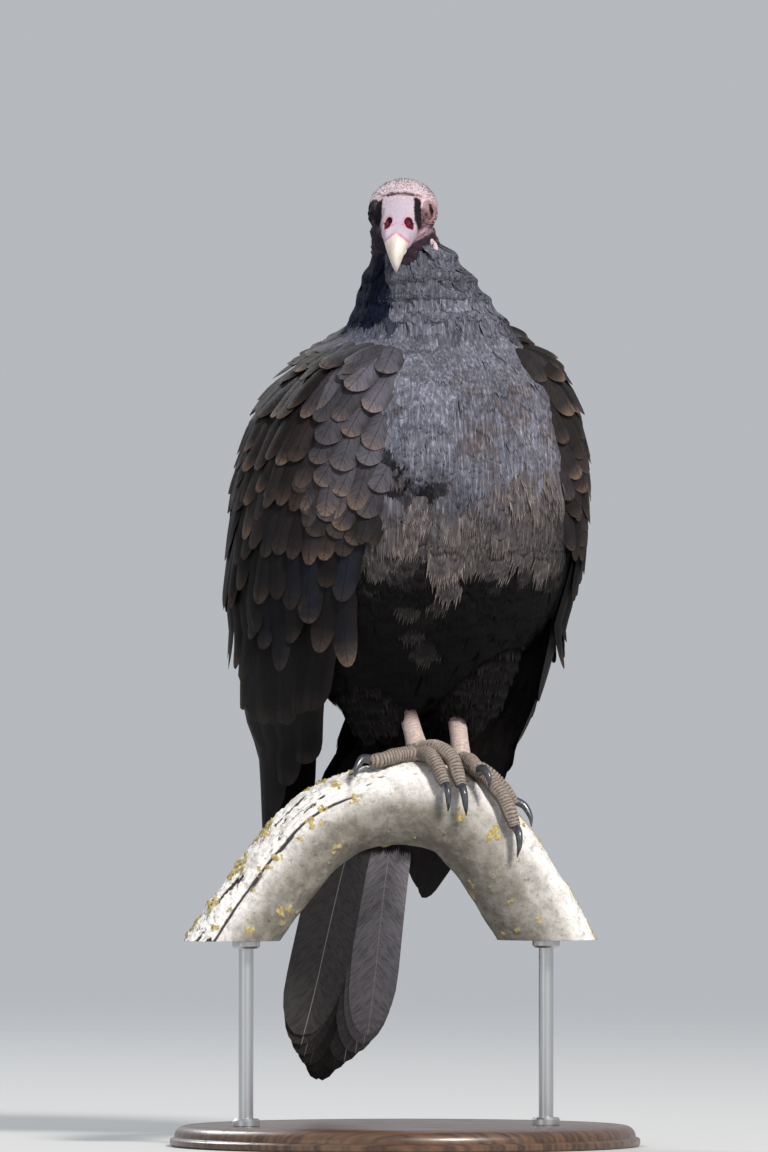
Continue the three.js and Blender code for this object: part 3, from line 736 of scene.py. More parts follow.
# The bare throat fills out under the head; the wattle is a small flap of skin on its left side.
turn = once_round(THROAT_SIDES)
throat = lofted("throat", [np.stack([
    row[0] + np.cos(turn) * row[3], row[1] + np.sin(turn) * row[4],
    np.full(THROAT_SIDES, row[2])], axis=-1) * MM for row in through(THROAT, THROAT_RINGS)])
throat = remeshed("throat", [throat], HEAD_VOXEL * 1.6)
places = corners_of(throat)
wart = clouds(places, 260, 4, 14) * (1 - 0.6 * ease(places[:, 2], 0.624, 0.630))
sag = np.mod(places[:, 2] / MM + 4 * clouds(places, 60, 2, 15), THROAT_PITCH)
sag = hill(sag, THROAT_PITCH / 2, 1.2)
move_to(throat, places + normals_of(throat) * ((wart * 0.7 - sag * 0.6) * MM)[:, None])
drop = through(WATTLE, WATTLE_RINGS)
turn = once_round(WATTLE_SIDES)
flap = lofted("wattle", [(row[:3] + np.stack([
    np.cos(turn) * row[3], np.sin(turn) * row[3] * 0.8, 0 * turn], axis=-1)) * MM for row in drop])


def limb_rings(stations):
    """The middle line of a leg or toe, its way up and its rings."""
    line = through(stations, LIMB_RINGS)
    across, over = limb_frame(line[:, :3])
    upward = over if over[len(over) // 2, 2] > 0 else -over
    ring = spokes(once_round(LIMB_SIDES), across, upward, 0.95)
    return line * MM, upward, (line[:, None, :3] + ring * line[:, None, 3:]) * MM


scaly = []
middles = []
for side, limbs in LEGS.items():
    for name, stations in limbs.items():
        line, upward, rings = limb_rings(stations)
        scaly.append(lofted(f"{name}_{side}", rings))
        run = run_of(line[:, :3])
        is_toe = np.full(len(line), name != "shank")
        middles.append(np.column_stack([line, upward, run, run / run[-1], is_toe]))
middles = np.vstack(middles)
near_limb = KDTree(len(middles))
for index, row in enumerate(middles):
    near_limb.insert(row[:3], index)
near_limb.balance()


def scaled(points):
    """At each point by a leg: how far into the groove between two ring scales it lies, how much
    it is on top, whether it is on a toe, and how far it is from the leg's surface."""
    found = middles[[near_limb.find(at)[1] for at in points.tolist()]]
    off = points - found[:, :3]
    distance = np.linalg.norm(off, axis=1)
    top = np.sum(off * found[:, 4:7], axis=1) / np.maximum(distance, 1e-9)
    waver = clouds(points, 90, 2, 22)
    phase = np.mod(found[:, 7] / (SCUTE_PITCH * MM) + 0.55 * waver, 1)
    groove = 1 - ease(np.minimum(phase, 1 - phase), 0.06, 0.24)
    return groove, ease(top, -0.25, 0.25), found[:, 9], distance - found[:, 3], found[:, 8]


legs = remeshed("bare_legs", scaly, FOOT_VOXEL)
places = corners_of(legs)
groove, top, is_toe, _, share = scaled(places)
pebbles = clouds(places, 800, 2, 21)
pad = np.sin(share * 3 * pi) ** 2 * (1 - top) * is_toe
relief = 0.22 - groove * top * (0.25 + 0.45 * is_toe) + pad * 0.7
relief += pebbles * 0.16 * (1 - top * 0.6)
move_to(legs, places + normals_of(legs) * (relief * MM)[:, None])

body = remeshed("feathered_body", [frame["nodes"][name] for name in FLESH], BODY_VOXEL)
change = body.modifiers.new("smooth", "SMOOTH")
change.iterations = 12
settled(body)
move_to(body, corners_of(body) - normals_of(body) * COAT_DEPTH)
body = remeshed("feathered_body", [body], BODY_VOXEL * 0.8)

skin = body
for part in (head, throat, flap, legs):
    skin = combined(skin, part, "UNION")
skin.name = "skin"
places = corners_of(skin)
forward, out, up = in_head(places)
is_head = ease(places[:, 2], 0.588, 0.592)
groove, top, is_toe, off_limb, _ = scaled(places)
is_leg = ease(-off_limb, -2.2 * MM, -1.4 * MM) * ease(-places[:, 2], -0.306, -0.300)
toe_share = is_toe * ease(-places[:, 2], -0.280, -0.272)


def all_over(colour, count):
    return np.tile(np.array(colour), (count, 1))


def blend(colours, target, amount):
    return colours + (np.asarray(target) - colours) * np.asarray(amount)[:, None]


def between(values, low, high, soft):
    """1 between low and high, easing to 0 outside them."""
    return ease(values, low - soft, low + soft) * ease(-values, -high - soft, -high + soft)


def across_brow(middle, width):
    """A narrow band over the forehead, from one eye to the other."""
    line = hill(forward + 0.012 * out ** 2 + wart, middle, width)
    return line * ease(up, 4, 10) * ease(-beside, -17, -11)


beside = np.abs(out)
wart = clouds(places, 900, 3, 31) * 0.5 + clouds(places, 330, 3, 32) * 0.5
from_eye = eye_distance(forward, up)
on_side = ease(beside, 8, 13)
is_left = ease(out, -4, 4)
loral = 11.9 + 0.10 * (forward - 14) + 3.4 * (1 - is_left)  # how far out the bare black lore runs
tint = all_over(FLESH_PINK, len(places))
tint = blend(tint, CROWN_PINK, ease(up + wart * 3, 2, 9) * (1 - 0.5 * ease(-forward, 8, 24)))
pale_jaw = 4.8 * is_left * ease(forward, 8, 14)
# Darker skin low on the face, under the head and low at its back, and painted shade over the bird's
# right side of the face.
dusky_and_painted_shade = ease(-(up + pale_jaw + 3.5 * wart), 3.0, 7.5) * ease(beside, 8, 12)
dusky_and_painted_shade = np.maximum(dusky_and_painted_shade, ease(-(up + 0.6 * pale_jaw + 2 * wart), 11.5, 14.5))
low_down = ease(places[:, 2] + 0.002 * wart, 0.626, 0.620)
dusky_and_painted_shade = np.maximum(dusky_and_painted_shade, low_down * ease(-forward, -30, -26))
# Painted shade: round and below the right eye the face is darkened as if turned from the light.
dusky_and_painted_shade = np.maximum(dusky_and_painted_shade, (1 - is_left) * ease(beside, 12, 15) * ease(-(up + 2 * wart), -7, -4))
ahead = ease(-places[:, 1], 0.050, 0.056)
low_edge = 0.6112 + 0.6 * (places[:, 0] - 0.003) + 0.0012 * wart
jaw_skin = between(places[:, 0], 0.001, 0.018, 0.0015)
jaw_skin *= ease(places[:, 2] - low_edge, -0.001, 0.001)
jaw_skin *= ahead * is_left * ease(-forward, -30, -26) * ease(-places[:, 2], -0.6235, -0.6215)
tint = blend(tint, CHEEK_PURPLE, dusky_and_painted_shade)
tint = blend(tint, FLESH_PINK, 0.9 * jaw_skin * (0.6 + 0.6 * ease(wart, -0.3, 0.3)))
freckled = is_left * ease(beside, 14, 18) * ease(-forward, -8, -2) + 0.5 * ease(-forward, 10, 22)
tint = blend(tint, FLESH_PINK, 0.8 * freckled * ease(wart, 0.0, 0.25) * ease(up, -22, -18))
on_cere = ease(forward + wart * 1.5, 4.5, 8.5) * ease(-(beside + wart), -12.6, -11.2)
tint = blend(tint, CERE_LAVENDER, on_cere * ease(up, -13.5, -11.5))
tint = blend(tint, CERE_PINK, 0.6 * ease(forward, 29, 36) * ease(up, -15, -13))
lines = np.clip(-np.cos((from_eye - WRINKLE_START) / WRINKLE_PITCH * 2 * pi), 0, 1)
lines = lines * ease(from_eye, 6.4, 8)
# The lids are browner on the left; on the right they stay dark as painted shade.
lids = ease(-from_eye, -9.0, -6.5) * on_side * (0.35 + 0.65 * is_left)
tint = blend(tint, LID_BROWN, 0.8 * lids)
tint = blend(tint, WRINKLE_DARK, lines * ease(-from_eye, -15, -11) * on_side * ease(-up, -4, 0))
under_eye = is_left * between(forward + 1.2 * wart, 9.2, 18.5, 1.2) * between(up, -10, 7, 1.5)
under_eye *= ease(beside, 13.5, 15)
mottled = 0.35 + 0.65 * ease(wart + 0.5 * lines, -0.2, 0.2)
tint = blend(tint, UNDER_EYE, 0.95 * under_eye * mottled)
# Painted shade: the skin close round the right eye is darkened to black.
tint = blend(tint, LORE_BLACK, 0.9 * (1 - is_left) * ease(-from_eye, -10, -8) * on_side)
tint = blend(tint, LORE_BLACK, 0.85 * ease(-lid_distance(forward, up), -1.20, -1.05) * on_side)
jaw = hill(forward, 17, 7) * hill(up + 0.15 * forward, -6.0 + 0.6 * wart, 2.0) * on_side * is_left
tint = blend(tint, CERE_PINK, 0.9 * jaw)
tint = blend(tint, WRINKLE_DARK, 0.8 * hill(forward, 15, 7) * on_side * hill(
    up + 0.15 * forward, -3.2 + 0.8 * wart, 0.7))
tint = blend(tint, LORE_BLACK, between(beside + 0.8 * wart, loral - 2.5, loral + 2.5, 0.6)
             * between(forward + 1.5 * wart, 5.5, 24, 1.3) * between(up, -6, 14, 2))
tint = blend(tint, BROW_FLUSH, 0.55 * across_brow(6.4, 1.0))
tint = blend(tint, UNDER_EYE, np.clip(across_brow(4.6, 1.15) * (1.15 + 0.8 * wart), 0, 0.95))
grain = clouds(places, 1500, 2, 35)
grained = ease(up, 5, 10) * ease(-forward, -4, 2)
tint = blend(tint, CROWN_PALE, 0.55 * grained * ease(-grain, 0.05, 0.35))
tint = blend(tint, CROWN_FLECK, 0.75 * grained * ease(grain + 0.35 * wart, 0.10, 0.36))
inside = np.sqrt(((forward - NOSTRIL_AT[0]) / NOSTRIL_HALF[0]) ** 2
                 + ((beside - NOSTRIL_AT[1]) / NOSTRIL_HALF[1]) ** 2
                 + ((up - NOSTRIL_AT[2]) / NOSTRIL_HALF[2]) ** 2)
in_bore = np.hypot((forward - NOSTRIL_AT[0]) / BORE_HALF[0],
                   (up - NOSTRIL_AT[2] + BORE_DROP) / BORE_HALF[1])
tint = blend(tint, RIM_PINK, hill(inside, 1.12, 0.2) * ease(up, -2, 1) * 0.40)
tint = blend(tint, NOSTRIL_RED, ease(-inside, -1.07, -0.98))
tint = blend(tint, NOSTRIL_RED, ease(-in_bore, -1.2, -1.02) * ease(-beside, -10.4, -9.6))
on_fold = hill(beside, cere_fold(forward), 0.9) * ease(forward, 32, 34) * ease(up, -3, 1)
tint = blend(tint, RIM_PINK, 0.7 * on_fold)
off_flap = np.min([np.linalg.norm(places / MM - np.array(row[:3]), axis=1) for row in drop], axis=0)
tint = blend(tint, WATTLE_PINK, ease(-off_flap, -3.0, -2.4))
tint *= (1 + 0.28 * wart * (1 - 0.7 * ease(forward, 8, 14)))[:, None]
# The shanks turn purple towards the top; on the left leg painted shade makes that purple stronger.
on_left_leg = ease(places[:, 0], 0.020, 0.024)
purple_and_painted_shade = ease(places[:, 2] + 0.004 * wart, 0.281, 0.296) * (0.25 + 0.45 * on_left_leg)
leg_tint = blend(all_over(SHANK_PALE, len(places)), SHANK_PURPLE, purple_and_painted_shade)
leg_tint = blend(leg_tint, TOE_BROWN, toe_share * (1 - 0.3 * top))
leg_tint = blend(leg_tint, SCUTE_PALE, 0.55 * (1 - groove) * top * toe_share)
leg_tint = blend(leg_tint, GROOVE_DARK, groove * top * (0.25 + 0.6 * toe_share))
leg_tint *= (1 + 0.35 * wart)[:, None]
tint = blend(blend(all_over(UNDER_PLUMAGE, len(places)), leg_tint, is_leg), tint, is_head)
bare_part = np.maximum(is_head, is_leg)
bare_tint = np.clip(tint, 0, 1)
dull = ease(-bare_tint.max(axis=1), -0.12, -0.03)  # the dark skin has no gloss
keep_values(skin, tint=bare_tint, dull=dull)
hide = Finish("bare_hide", {"Specular IOR Level": 0.15})
pores = hide.noise(1900, 3)
creases = hide.noise(700, 4, roughness=0.6)
hide.drive("Base Color", hide.mixed(
    pores.rise(0.60, 0.70) * 0.5, hide.kept("tint", "Color"), STUBBLE_SHADE))
hide.drive("Roughness", 0.42 + creases * 0.30 + hide.kept("dull") * 0.35)
hide.bump(creases + pores * 0.4, 0.0003)
limbs = [f"tarsus_{side}" for side in LEGS]
limbs += [f"toe_{side}_{toe}" for side in LEGS for toe in ("hallux", "inner", "middle", "outer")]
dressed(skin, hide, "bare_skin", *FLESH, "head", *limbs)


# ------------------------------------------------------------------ eyes
# Two balls of dark brown glass set deep between the lids, each domed in front like the real
# cornea. The pupil and the fine rays of the iris are painted in, as on a taxidermist's eye.
IRIS_BROWN = (0.009, 0.005, 0.004, 1)
IRIS_RAYS = (0.018, 0.009, 0.006, 1)
EYE_DARK = (0.008, 0.006, 0.006, 1)
PUPIL_BLACK = (0.003, 0.003, 0.003, 1)
IRIS_HALF = 0.66  # how far the iris reaches, in radians from the middle of the eye
PUPIL_HALF = 0.34
CORNEA = 0.6  # millimetres that the front stands out
EYE_RINGS, EYE_SIDES = 60, 64

glass = Finish("glass_eye", {"Roughness": 0.10, "IOR": 1.14})
lean_at = glass.kept("lean")
rays = glass.noise(1500, 3)
ring = glass.mixed(rays.rise(0.35, 0.7), IRIS_BROWN, IRIS_RAYS)
ring = glass.mixed(lean_at.rise(PUPIL_HALF * 0.96, PUPIL_HALF * 1.04), PUPIL_BLACK, ring)
glass.drive("Base Color", glass.mixed(
    lean_at.rise(IRIS_HALF * 0.94, IRIS_HALF * 1.02), ring, EYE_DARK))
for side, sign in (("left", 1), ("right", -1)):
    lean = np.linspace(0.02, pi - 0.02, EYE_RINGS)
    turn = once_round(EYE_SIDES)
    reach = EYE_RADIUS + CORNEA * hill(lean, 0, 0.55)
    rings = [on_head(EYE_AT[0] + np.cos(turn) * sin(a) * EYE_RADIUS,
                     sign * (EYE_AT[1] - EYE_SUNK + cos(a) * r),
                     EYE_AT[2] + np.sin(turn) * sin(a) * EYE_RADIUS) for a, r in zip(lean, reach)]
    eye = lofted(f"eye_{side}_glass", rings)
    keep_values(eye, lean=np.append(np.repeat(lean, EYE_SIDES), (0, pi)))
    dressed(eye, glass, "eye", f"eye_{side}")


# ------------------------------------------------------------------ bill
# The ivory tip of the bill: a hooked upper half whose cutting edge dips and turns down to a
# point, and a shorter scoop-shaped lower half that closes up under it. Both are polished horn.
UPPER_BILL = (  # forward, up, half width, half depth, droop in degrees
    (37.5, -5.2, 9.1, 8.0, 0), (39.3, -5.4, 9.0, 8.0, 0), (45, -5.6, 8.6, 7.8, 6),
    (51, -8, 7.4, 7.2, 26), (55.6, -12.6, 5.4, 5.6, 52), (57.6, -18, 3.3, 3.9, 78),
    (57.4, -22, 1.6, 2.1, 98), (56.8, -24.8, 0.4, 0.5, 108),
)
LOWER_BILL = (
    (37.5, -15.0, 5.8, 2.4, 0), (39.3, -15.2, 5.8, 2.4, 0), (45, -15.6, 4.8, 2.3, 0),
    (49, -15.2, 3.0, 1.7, -8), (51.4, -14.6, 0.9, 0.6, -12),
)
CERE_EDGE = 618.6  # height in millimetres where the pink skin on the bill's ridge ends
CERE_SLOPE = 0.80  # how much lower it ends for each millimetre to the side
BILL_RINGS, BILL_SIDES = 120, 96
HORN_IVORY = (0.58, 0.53, 0.49, 1)
HORN_SHADE = (0.42, 0.34, 0.25, 1)

horn = Finish("bill_horn", {"Specular IOR Level": 0.35})
layers = horn.noise(260, 4, horn.stretched(horn.place(), (1, 0.35, 0.35)), 0.6)
ivory = horn.mixed(layers.rise(0.42, 0.70) * 0.6, HORN_IVORY, HORN_SHADE)
ivory = horn.mixed(horn.kept("share").rise(0.80, 1.0) * 0.45, ivory, HORN_SHADE)
skin_at = horn.kept("cere")
horn.drive("Base Color", horn.mixed(skin_at, ivory, horn.kept("tint", "Color")))
horn.drive("Roughness", 0.30 + layers * 0.22 + skin_at * 0.20)
horn.bump(layers * 0.6 + horn.noise(1400, 2) * 0.25, 0.00018)
for half, stations in (("upper", UPPER_BILL), ("lower", LOWER_BILL)):
    turn = once_round(BILL_SIDES)
    rings = []
    for ahead, height, width, depth, droop in through(stations, BILL_RINGS):
        under = np.where(np.sin(turn) < 0, 1 - 0.16 * np.abs(np.cos(turn)) ** 3, 1)
        ridge = 1 + 0.05 * hill(turn, pi / 2, 0.4) if half == "upper" else 1
        ring_out = np.cos(turn) * width * (1 - 0.10 * np.sin(turn) ** 4)
        ring_up = np.sin(turn) * depth * under * ridge
        rings.append(on_head(ahead + ring_up * sin(radians(droop)), ring_out,
                             height + ring_up * cos(radians(droop))))
    bill = lofted(f"bill_{half}_horn", rings)
    share = np.repeat(np.linspace(0, 1, BILL_RINGS), BILL_SIDES)
    places = corners_of(bill)
    forward, out, up = in_head(places)
    edge = places[:, 2] / MM - (CERE_EDGE - CERE_SLOPE * np.abs(out))
    edge = edge + 0.5 * clouds(places, 300, 2, 5)
    blush = np.clip(hill(edge, 0.9, 0.9) * ease(np.abs(out), 1, 3.5) + 0.4 * ease(edge, 4, 0), 0, 1)
    keep_values(bill, share=np.append(share, (0, 1)), cere=ease(edge, -0.35, 0.35),
                tint=blend(all_over(CERE_LAVENDER, len(places)), RIM_PINK, 0.75 * blush))
    dressed(bill, horn, "bill_horn", f"bill_{half}")


# ------------------------------------------------------------------ claws
# Eight dark slate claws of horn, curved down and flattened beneath, each rooted in the last
# scale of its toe.
CLAWS = {  # X, Y, Z and radius from root to point, in millimetres
    "right": {
        "hallux": ((2, 30.5, 251.5, 3.0), (2, 33, 250, 3.2), (1, 38, 245, 2.8), (0, 39, 238, 2),
                   (0, 36, 231, 0.4)),
        "inner": ((26.5, -32.5, 248, 3.1), (27.5, -35, 246, 3.3), (29, -40, 241, 2.9),
                  (29.5, -40, 234, 2.1), (29, -35.5, 228, 0.4)),
        "middle": ((37.6, -33.5, 247, 3.3), (38.5, -36, 245, 3.5), (40, -41, 240, 3.1),
                   (41, -41, 232, 2.2), (41.5, -36, 225, 0.4)),
        "outer": ((-22, -19, 262.6, 3.3), (-24, -19.5, 263, 3.5), (-29, -23, 263, 3.1),
                  (-33, -27, 257, 2.1), (-34, -28, 251, 0.4)),
    },
    "left": {
        "hallux": ((34, 31.5, 242.5, 3.0), (34, 34, 241, 3.2), (34, 39, 236, 2.8),
                   (34, 40, 229, 2), (34, 37, 222, 0.4)),
        "inner": ((49.8, -26.5, 255, 3.3), (50.5, -29, 256, 3.5), (54, -34, 256, 3.2),
                  (57, -38, 250, 2.3), (57, -37, 243, 0.4)),
        "middle": ((73.8, -28, 219, 3.3), (75, -30, 217, 3.5), (77, -35, 213, 3.1),
                   (77.5, -37, 205, 2.2), (76, -34, 197, 0.4)),
        "outer": ((73.5, 11, 235, 3.1), (75.5, 11, 234, 3.3), (81, 10, 231, 2.9),
                  (85, 8, 224, 2), (86, 6, 217, 0.4)),
    },
}
CLAW_RINGS, CLAW_SIDES = 60, 40
CLAW_SLATE = (0.030, 0.034, 0.042, 1)
CLAW_WORN = (0.125, 0.125, 0.130, 1)

slate = Finish("claw_horn", {"Coat Weight": 0.5, "Coat Roughness": 0.15})
fibres = slate.noise(420, 4, roughness=0.65)
root_worn = slate.kept("share").rise(0.35, 0.0)
slate.drive("Base Color", slate.mixed(
    fibres.rise(0.45, 0.7) * (0.35 + root_worn * 0.5), CLAW_SLATE, CLAW_WORN))
slate.drive("Roughness", 0.22 + fibres * 0.25)
slate.bump(fibres, 0.00015)
for side, feet in CLAWS.items():
    for toe, stations in feet.items():
        line = through(stations, CLAW_RINGS)
        turn = once_round(CLAW_SIDES)
        keel = 1 - 0.22 * hill(turn, 1.5 * pi, 0.7)
        ring = spokes(turn, *limb_frame(line[:, :3]), 0.82, keel)
        rings = (line[:, None, :3] + ring * line[:, None, 3:]) * MM
        claw = lofted(f"claw_{side}_{toe}_horn", rings)
        share = np.repeat(np.linspace(0, 1, CLAW_RINGS), CLAW_SIDES)
        keep_values(claw, share=np.append(share, (0, 1)))
        dressed(claw, slate, "claw_horn", f"claw_{side}_{toe}")


# ------------------------------------------------------------------ body plumage
# Soft contour feathers over belly, back, breast and neck: each is a thin closed vane that frays
# at its end into locks of barbs, rooted in the skin and lying down over the next row. They are
# grey on the breast with a painted bluish sheen, mottled brown, and sooty below, with worn tan
# tips. Painted shade darkens the bird's right side of the neck, the plumage under the chin, a
# crease of the neck and the hollows beneath the breast's folds.
BODY_AXIS = np.array([  # X, Y and Z of the line that the body's angles turn about
    (-6, 45, 285), (4, 22, 340), (12, -1, 420), (14, -10, 500), (16, -16, 545), (10, -34, 580),
    (1, -48, 606), (-2, -53, 622),
]) * MM
ANGLES = 240
HEIGHT_STEP = 2.5 * MM
RAY_START = 0.35
TOP_ROOTS = 6 * MM  # how far above a wing's top the highest feathers are rooted
DOME_CLOSES = 0.40
EDGE_SOFTNESS = 6
SHAFT_DARK = (0.004, 0.003, 0.003, 1)
SHAFT_PALE = (0.40, 0.36, 0.31, 1)
BARB_DARK = (0.004, 0.0035, 0.004, 1)
BLOTCH_DARK = (0.005, 0.004, 0.004, 1)
STRAND_STRETCH = 0.09
STRAND_FINE = 620
STRAND_PAINTED_HIGHLIGHT = (1.75, 1.70, 1.66, 1)
PATCH = 0.003  # side of a feather's patch on the baked sheet
VANE_ROWS = (0, 0.2, 0.42, 0.62, 0.77, 0.88, 0.95, 0.985, 1)
SOFT_ROWS = (0, 0.35, 0.62, 0.85, 1)
LOCKS = 11  # tapered locks that fray the end of a soft feather
MARCH_STEPS = 10
LIE_STEPS = (0.03, 2 * MM)  # steps in angle and height, by which the way of a surface is found
NECK_FOLDS = (0.6025, 0.5865, 0.5735, 0.5585)
SOOT = (0.0035, 0.0032, 0.0036)
# The grey of the breast with a painted bluish sheen on it.
GREY_AND_PAINTED_SHEEN = (0.150, 0.154, 0.196)
BREAST_BROWN = (0.078, 0.066, 0.070)
# Inky blue-black painted shade, on the right of the neck and under the chin.
PAINTED_SHADE_INKY = (0.006, 0.009, 0.026)
WORN_TAN = (0.300, 0.250, 0.220)
WORN_UNDER = (0.082, 0.072, 0.074)
WORN_PATCHES = (  # X and Z of the middle, half across, half down in millimetres, and strength
    (0, 410, 20, 17, 0.9), (22, 380, 14, 15, 0.9), (88, 437, 30, 17, 0.9), (44, 418, 14, 15, 0.7),
    (97, 380, 15, 11, 1.0), (66, 392, 12, 12, 0.5), (15, 352, 9, 5, 0.6), (9, 322, 8, 8, 0.7),
)
LOBES = (  # angle and height of the middle, half across, half down, and how far it stands out
    (0.03, 0.470, 0.24, 0.023, 6.0), (0.07, 0.504, 0.22, 0.022, 3.0),
    (0.42, 0.447, 0.26, 0.026, 4.0), (0.75, 0.418, 0.22, 0.030, 4.0),
    (0.05, 0.398, 0.24, 0.028, 4.0),
)
# The last number of each fold gives how dark the painted shadow beneath it is.
FOLDS = (  # X, Z, half across and half down of the two smooth folds, and how dark it is beneath
    (0.014, 0.503, 0.020, 0.017, 0.40), (0.012, 0.479, 0.025, 0.031, 0.88),
)
BANDS = {  # the lowest and highest row of feathers of each piece
    "belly": (0.300, 0.398), "breast": (0.398, 0.458), "crop": (0.458, 0.522),
    "neck": (0.522, 0.622),
}
SHOWN = 0.40  # how far below its place the part of a feather that shows lies, in its lengths
LAID_BELOW = 0.45  # how far above its place a feather is rooted, in its lengths
SHAGGY_WEAR = 0.22  # feathers more worn than this end in long loose locks
SHAGGY_BELOW = 0.372
ROW_DISORDER = 0.50
RUFF_EDGE = 0.606  # how high the feathers reach under the chin
RUFF_SLOPE = 0.25
RUFF_BARED = 0.008  # how much lower they end over the bare left side of the throat
CHANCE_SEED = 8
chance = np.random.default_rng(CHANCE_SEED)


def smoothed(rows, before, after):
    padded = np.vstack([before, rows, after])
    return (padded[:-2] + 2 * padded[1:-1] + padded[2:]) / 4


class Wrap:
    """The outside of some solids round a standing axis, as a radius at each angle and height.
    Angle 0 looks to the front, and a quarter turn on is the bird's left. An open plate, such
    as a wing, also has a middle, the angle that it lies at, and a front and a back edge."""

    def __init__(self, nodes, axis, softness, middle=None, dome=0):
        self.axis = axis
        self.dome = dome
        self.low, self.high = axis[0, 2], axis[-1, 2]
        self.heights = np.arange(self.low, self.high + HEIGHT_STEP / 2, HEIGHT_STEP)
        corners, faces = [], []
        for name in nodes:
            mesh = frame["nodes"][name].data
            faces += [[len(corners) + k for k in face.vertices] for face in mesh.polygons]
            corners += [corner.co.copy() for corner in mesh.vertices]
        solid = BVHTree.FromPolygons(corners, faces)
        turns = np.arange(ANGLES) * 2 * pi / ANGLES
        self.radius = np.full((len(self.heights), ANGLES), np.nan)
        for row, height in enumerate(self.heights):
            centre = Vector(self.centre(np.array([height]))[0])
            for column, turn in enumerate(turns):
                way = Vector((sin(turn), -cos(turn), 0))
                found = solid.ray_cast(centre + way * RAY_START, -way, RAY_START)
                if found[0] is not None:
                    self.radius[row, column] = RAY_START - found[3]
        if middle is not None:
            self.fore = int(middle < 0)
            self.edges = self.edges_from(middle)
        self.fill()
        for _ in range(softness):
            self.soften()

    def centre(self, height):
        return np.stack([np.interp(height, self.axis[:, 2], self.axis[:, k])
                         for k in range(2)] + [height], axis=-1)

    def fill(self):
        known = ~np.isnan(self.radius)
        rows = np.flatnonzero(known.any(axis=1))
        columns = np.arange(ANGLES)
        for row in range(len(self.heights)):
            source = rows[np.argmin(np.abs(rows - row))]
            seen = np.flatnonzero(known[source])
            self.radius[row] = np.interp(columns, seen, self.radius[source, seen], period=ANGLES)

    def soften(self):
        grid = self.radius
        grid = (np.roll(grid, 1, axis=1) + 2 * grid + np.roll(grid, -1, axis=1)) / 4
        self.radius = smoothed(grid, 2 * grid[:1] - grid[1:2], 2 * grid[-1:] - grid[-2:-1])

    def edges_from(self, middle):
        """The angles of the two edges of an open plate, found outwards from its middle."""
        start = round(middle / (2 * pi) * ANGLES)
        found = []
        for row in self.radius:
            ends = []
            for way in (-1, 1):
                step = 0
                while step < ANGLES // 2 and not np.isnan(row[(start + way * step) % ANGLES]):
                    step += 1
                ends.append(start + way * (step - 1) if step else np.nan)
            found.append(ends)
        found = np.array(found, float) * 2 * pi / ANGLES
        seen = np.flatnonzero(~np.isnan(found).any(axis=1))
        rows = np.arange(len(found))
        found = np.stack([np.interp(rows, seen, found[seen, k]) for k in (0, 1)], axis=-1)
        for _ in range(EDGE_SOFTNESS):
            found = smoothed(found, found[:1], found[-1:])
        return found

    def front(self, height):
        return np.interp(height, self.heights, self.edges[:, self.fore])

    def back(self, height):
        return np.interp(height, self.heights, self.edges[:, 1 - self.fore])

    def reach(self, angle, height):
        across = np.mod(angle / (2 * pi) * ANGLES, ANGLES)
        upward = np.clip((height - self.low) / HEIGHT_STEP, 0, len(self.heights) - 1.001)
        left, below = across.astype(int), upward.astype(int)
        x, y = across - left, upward - below
        left, right = left % ANGLES, (left + 1) % ANGLES
        grid = self.radius
        return ((grid[below, left] * (1 - x) + grid[below, right] * x) * (1 - y)
                + (grid[below + 1, left] * (1 - x) + grid[below + 1, right] * x) * y)

    def place(self, angle, height, further=0):
        reach = self.reach(angle, height) + further
        if self.dome:
            over = np.clip((height - self.high + self.dome) / (self.dome + TOP_ROOTS), 0, 1)
            reach = reach * (1 - DOME_CLOSES * over ** 2)
        centre = self.centre(height)
        way = np.stack([np.sin(angle), -np.cos(angle), np.zeros_like(angle)], axis=-1)
        return centre + way * reach[..., None]


def ways(place, a, b, reach):
    """How a place on a surface moves with each of its two numbers, and the way out of it."""
    by_a = (place(a + reach[0], b) - place(a - reach[0], b)) / (2 * reach[0])
    by_b = (place(a, b + reach[1]) - place(a, b - reach[1])) / (2 * reach[1])
    return by_a, by_b, unit(np.cross(by_a, by_b))


def moved(by_a, by_b, way):
    """The change of a surface's two numbers that makes a unit step the given way."""
    aa, ab, bb = (np.sum(p * q, axis=-1) for p, q in ((by_a, by_a), (by_a, by_b), (by_b, by_b)))
    wa, wb = np.sum(way * by_a, axis=-1), np.sum(way * by_b, axis=-1)
    spread = aa * bb - ab * ab
    return (wa * bb - wb * ab) / spread, (wb * aa - wa * ab) / spread


def outline(share, blunt):
    """Half width of a vane at each share of its length, as a share of its widest."""
    body = np.minimum(1, 0.30 + 1.9 * share)
    end = np.clip((share - blunt) / (1 - blunt), 0, 1)
    return np.maximum(body * np.sqrt(np.clip(1 - end ** 2, 0, 1)), 0.03)


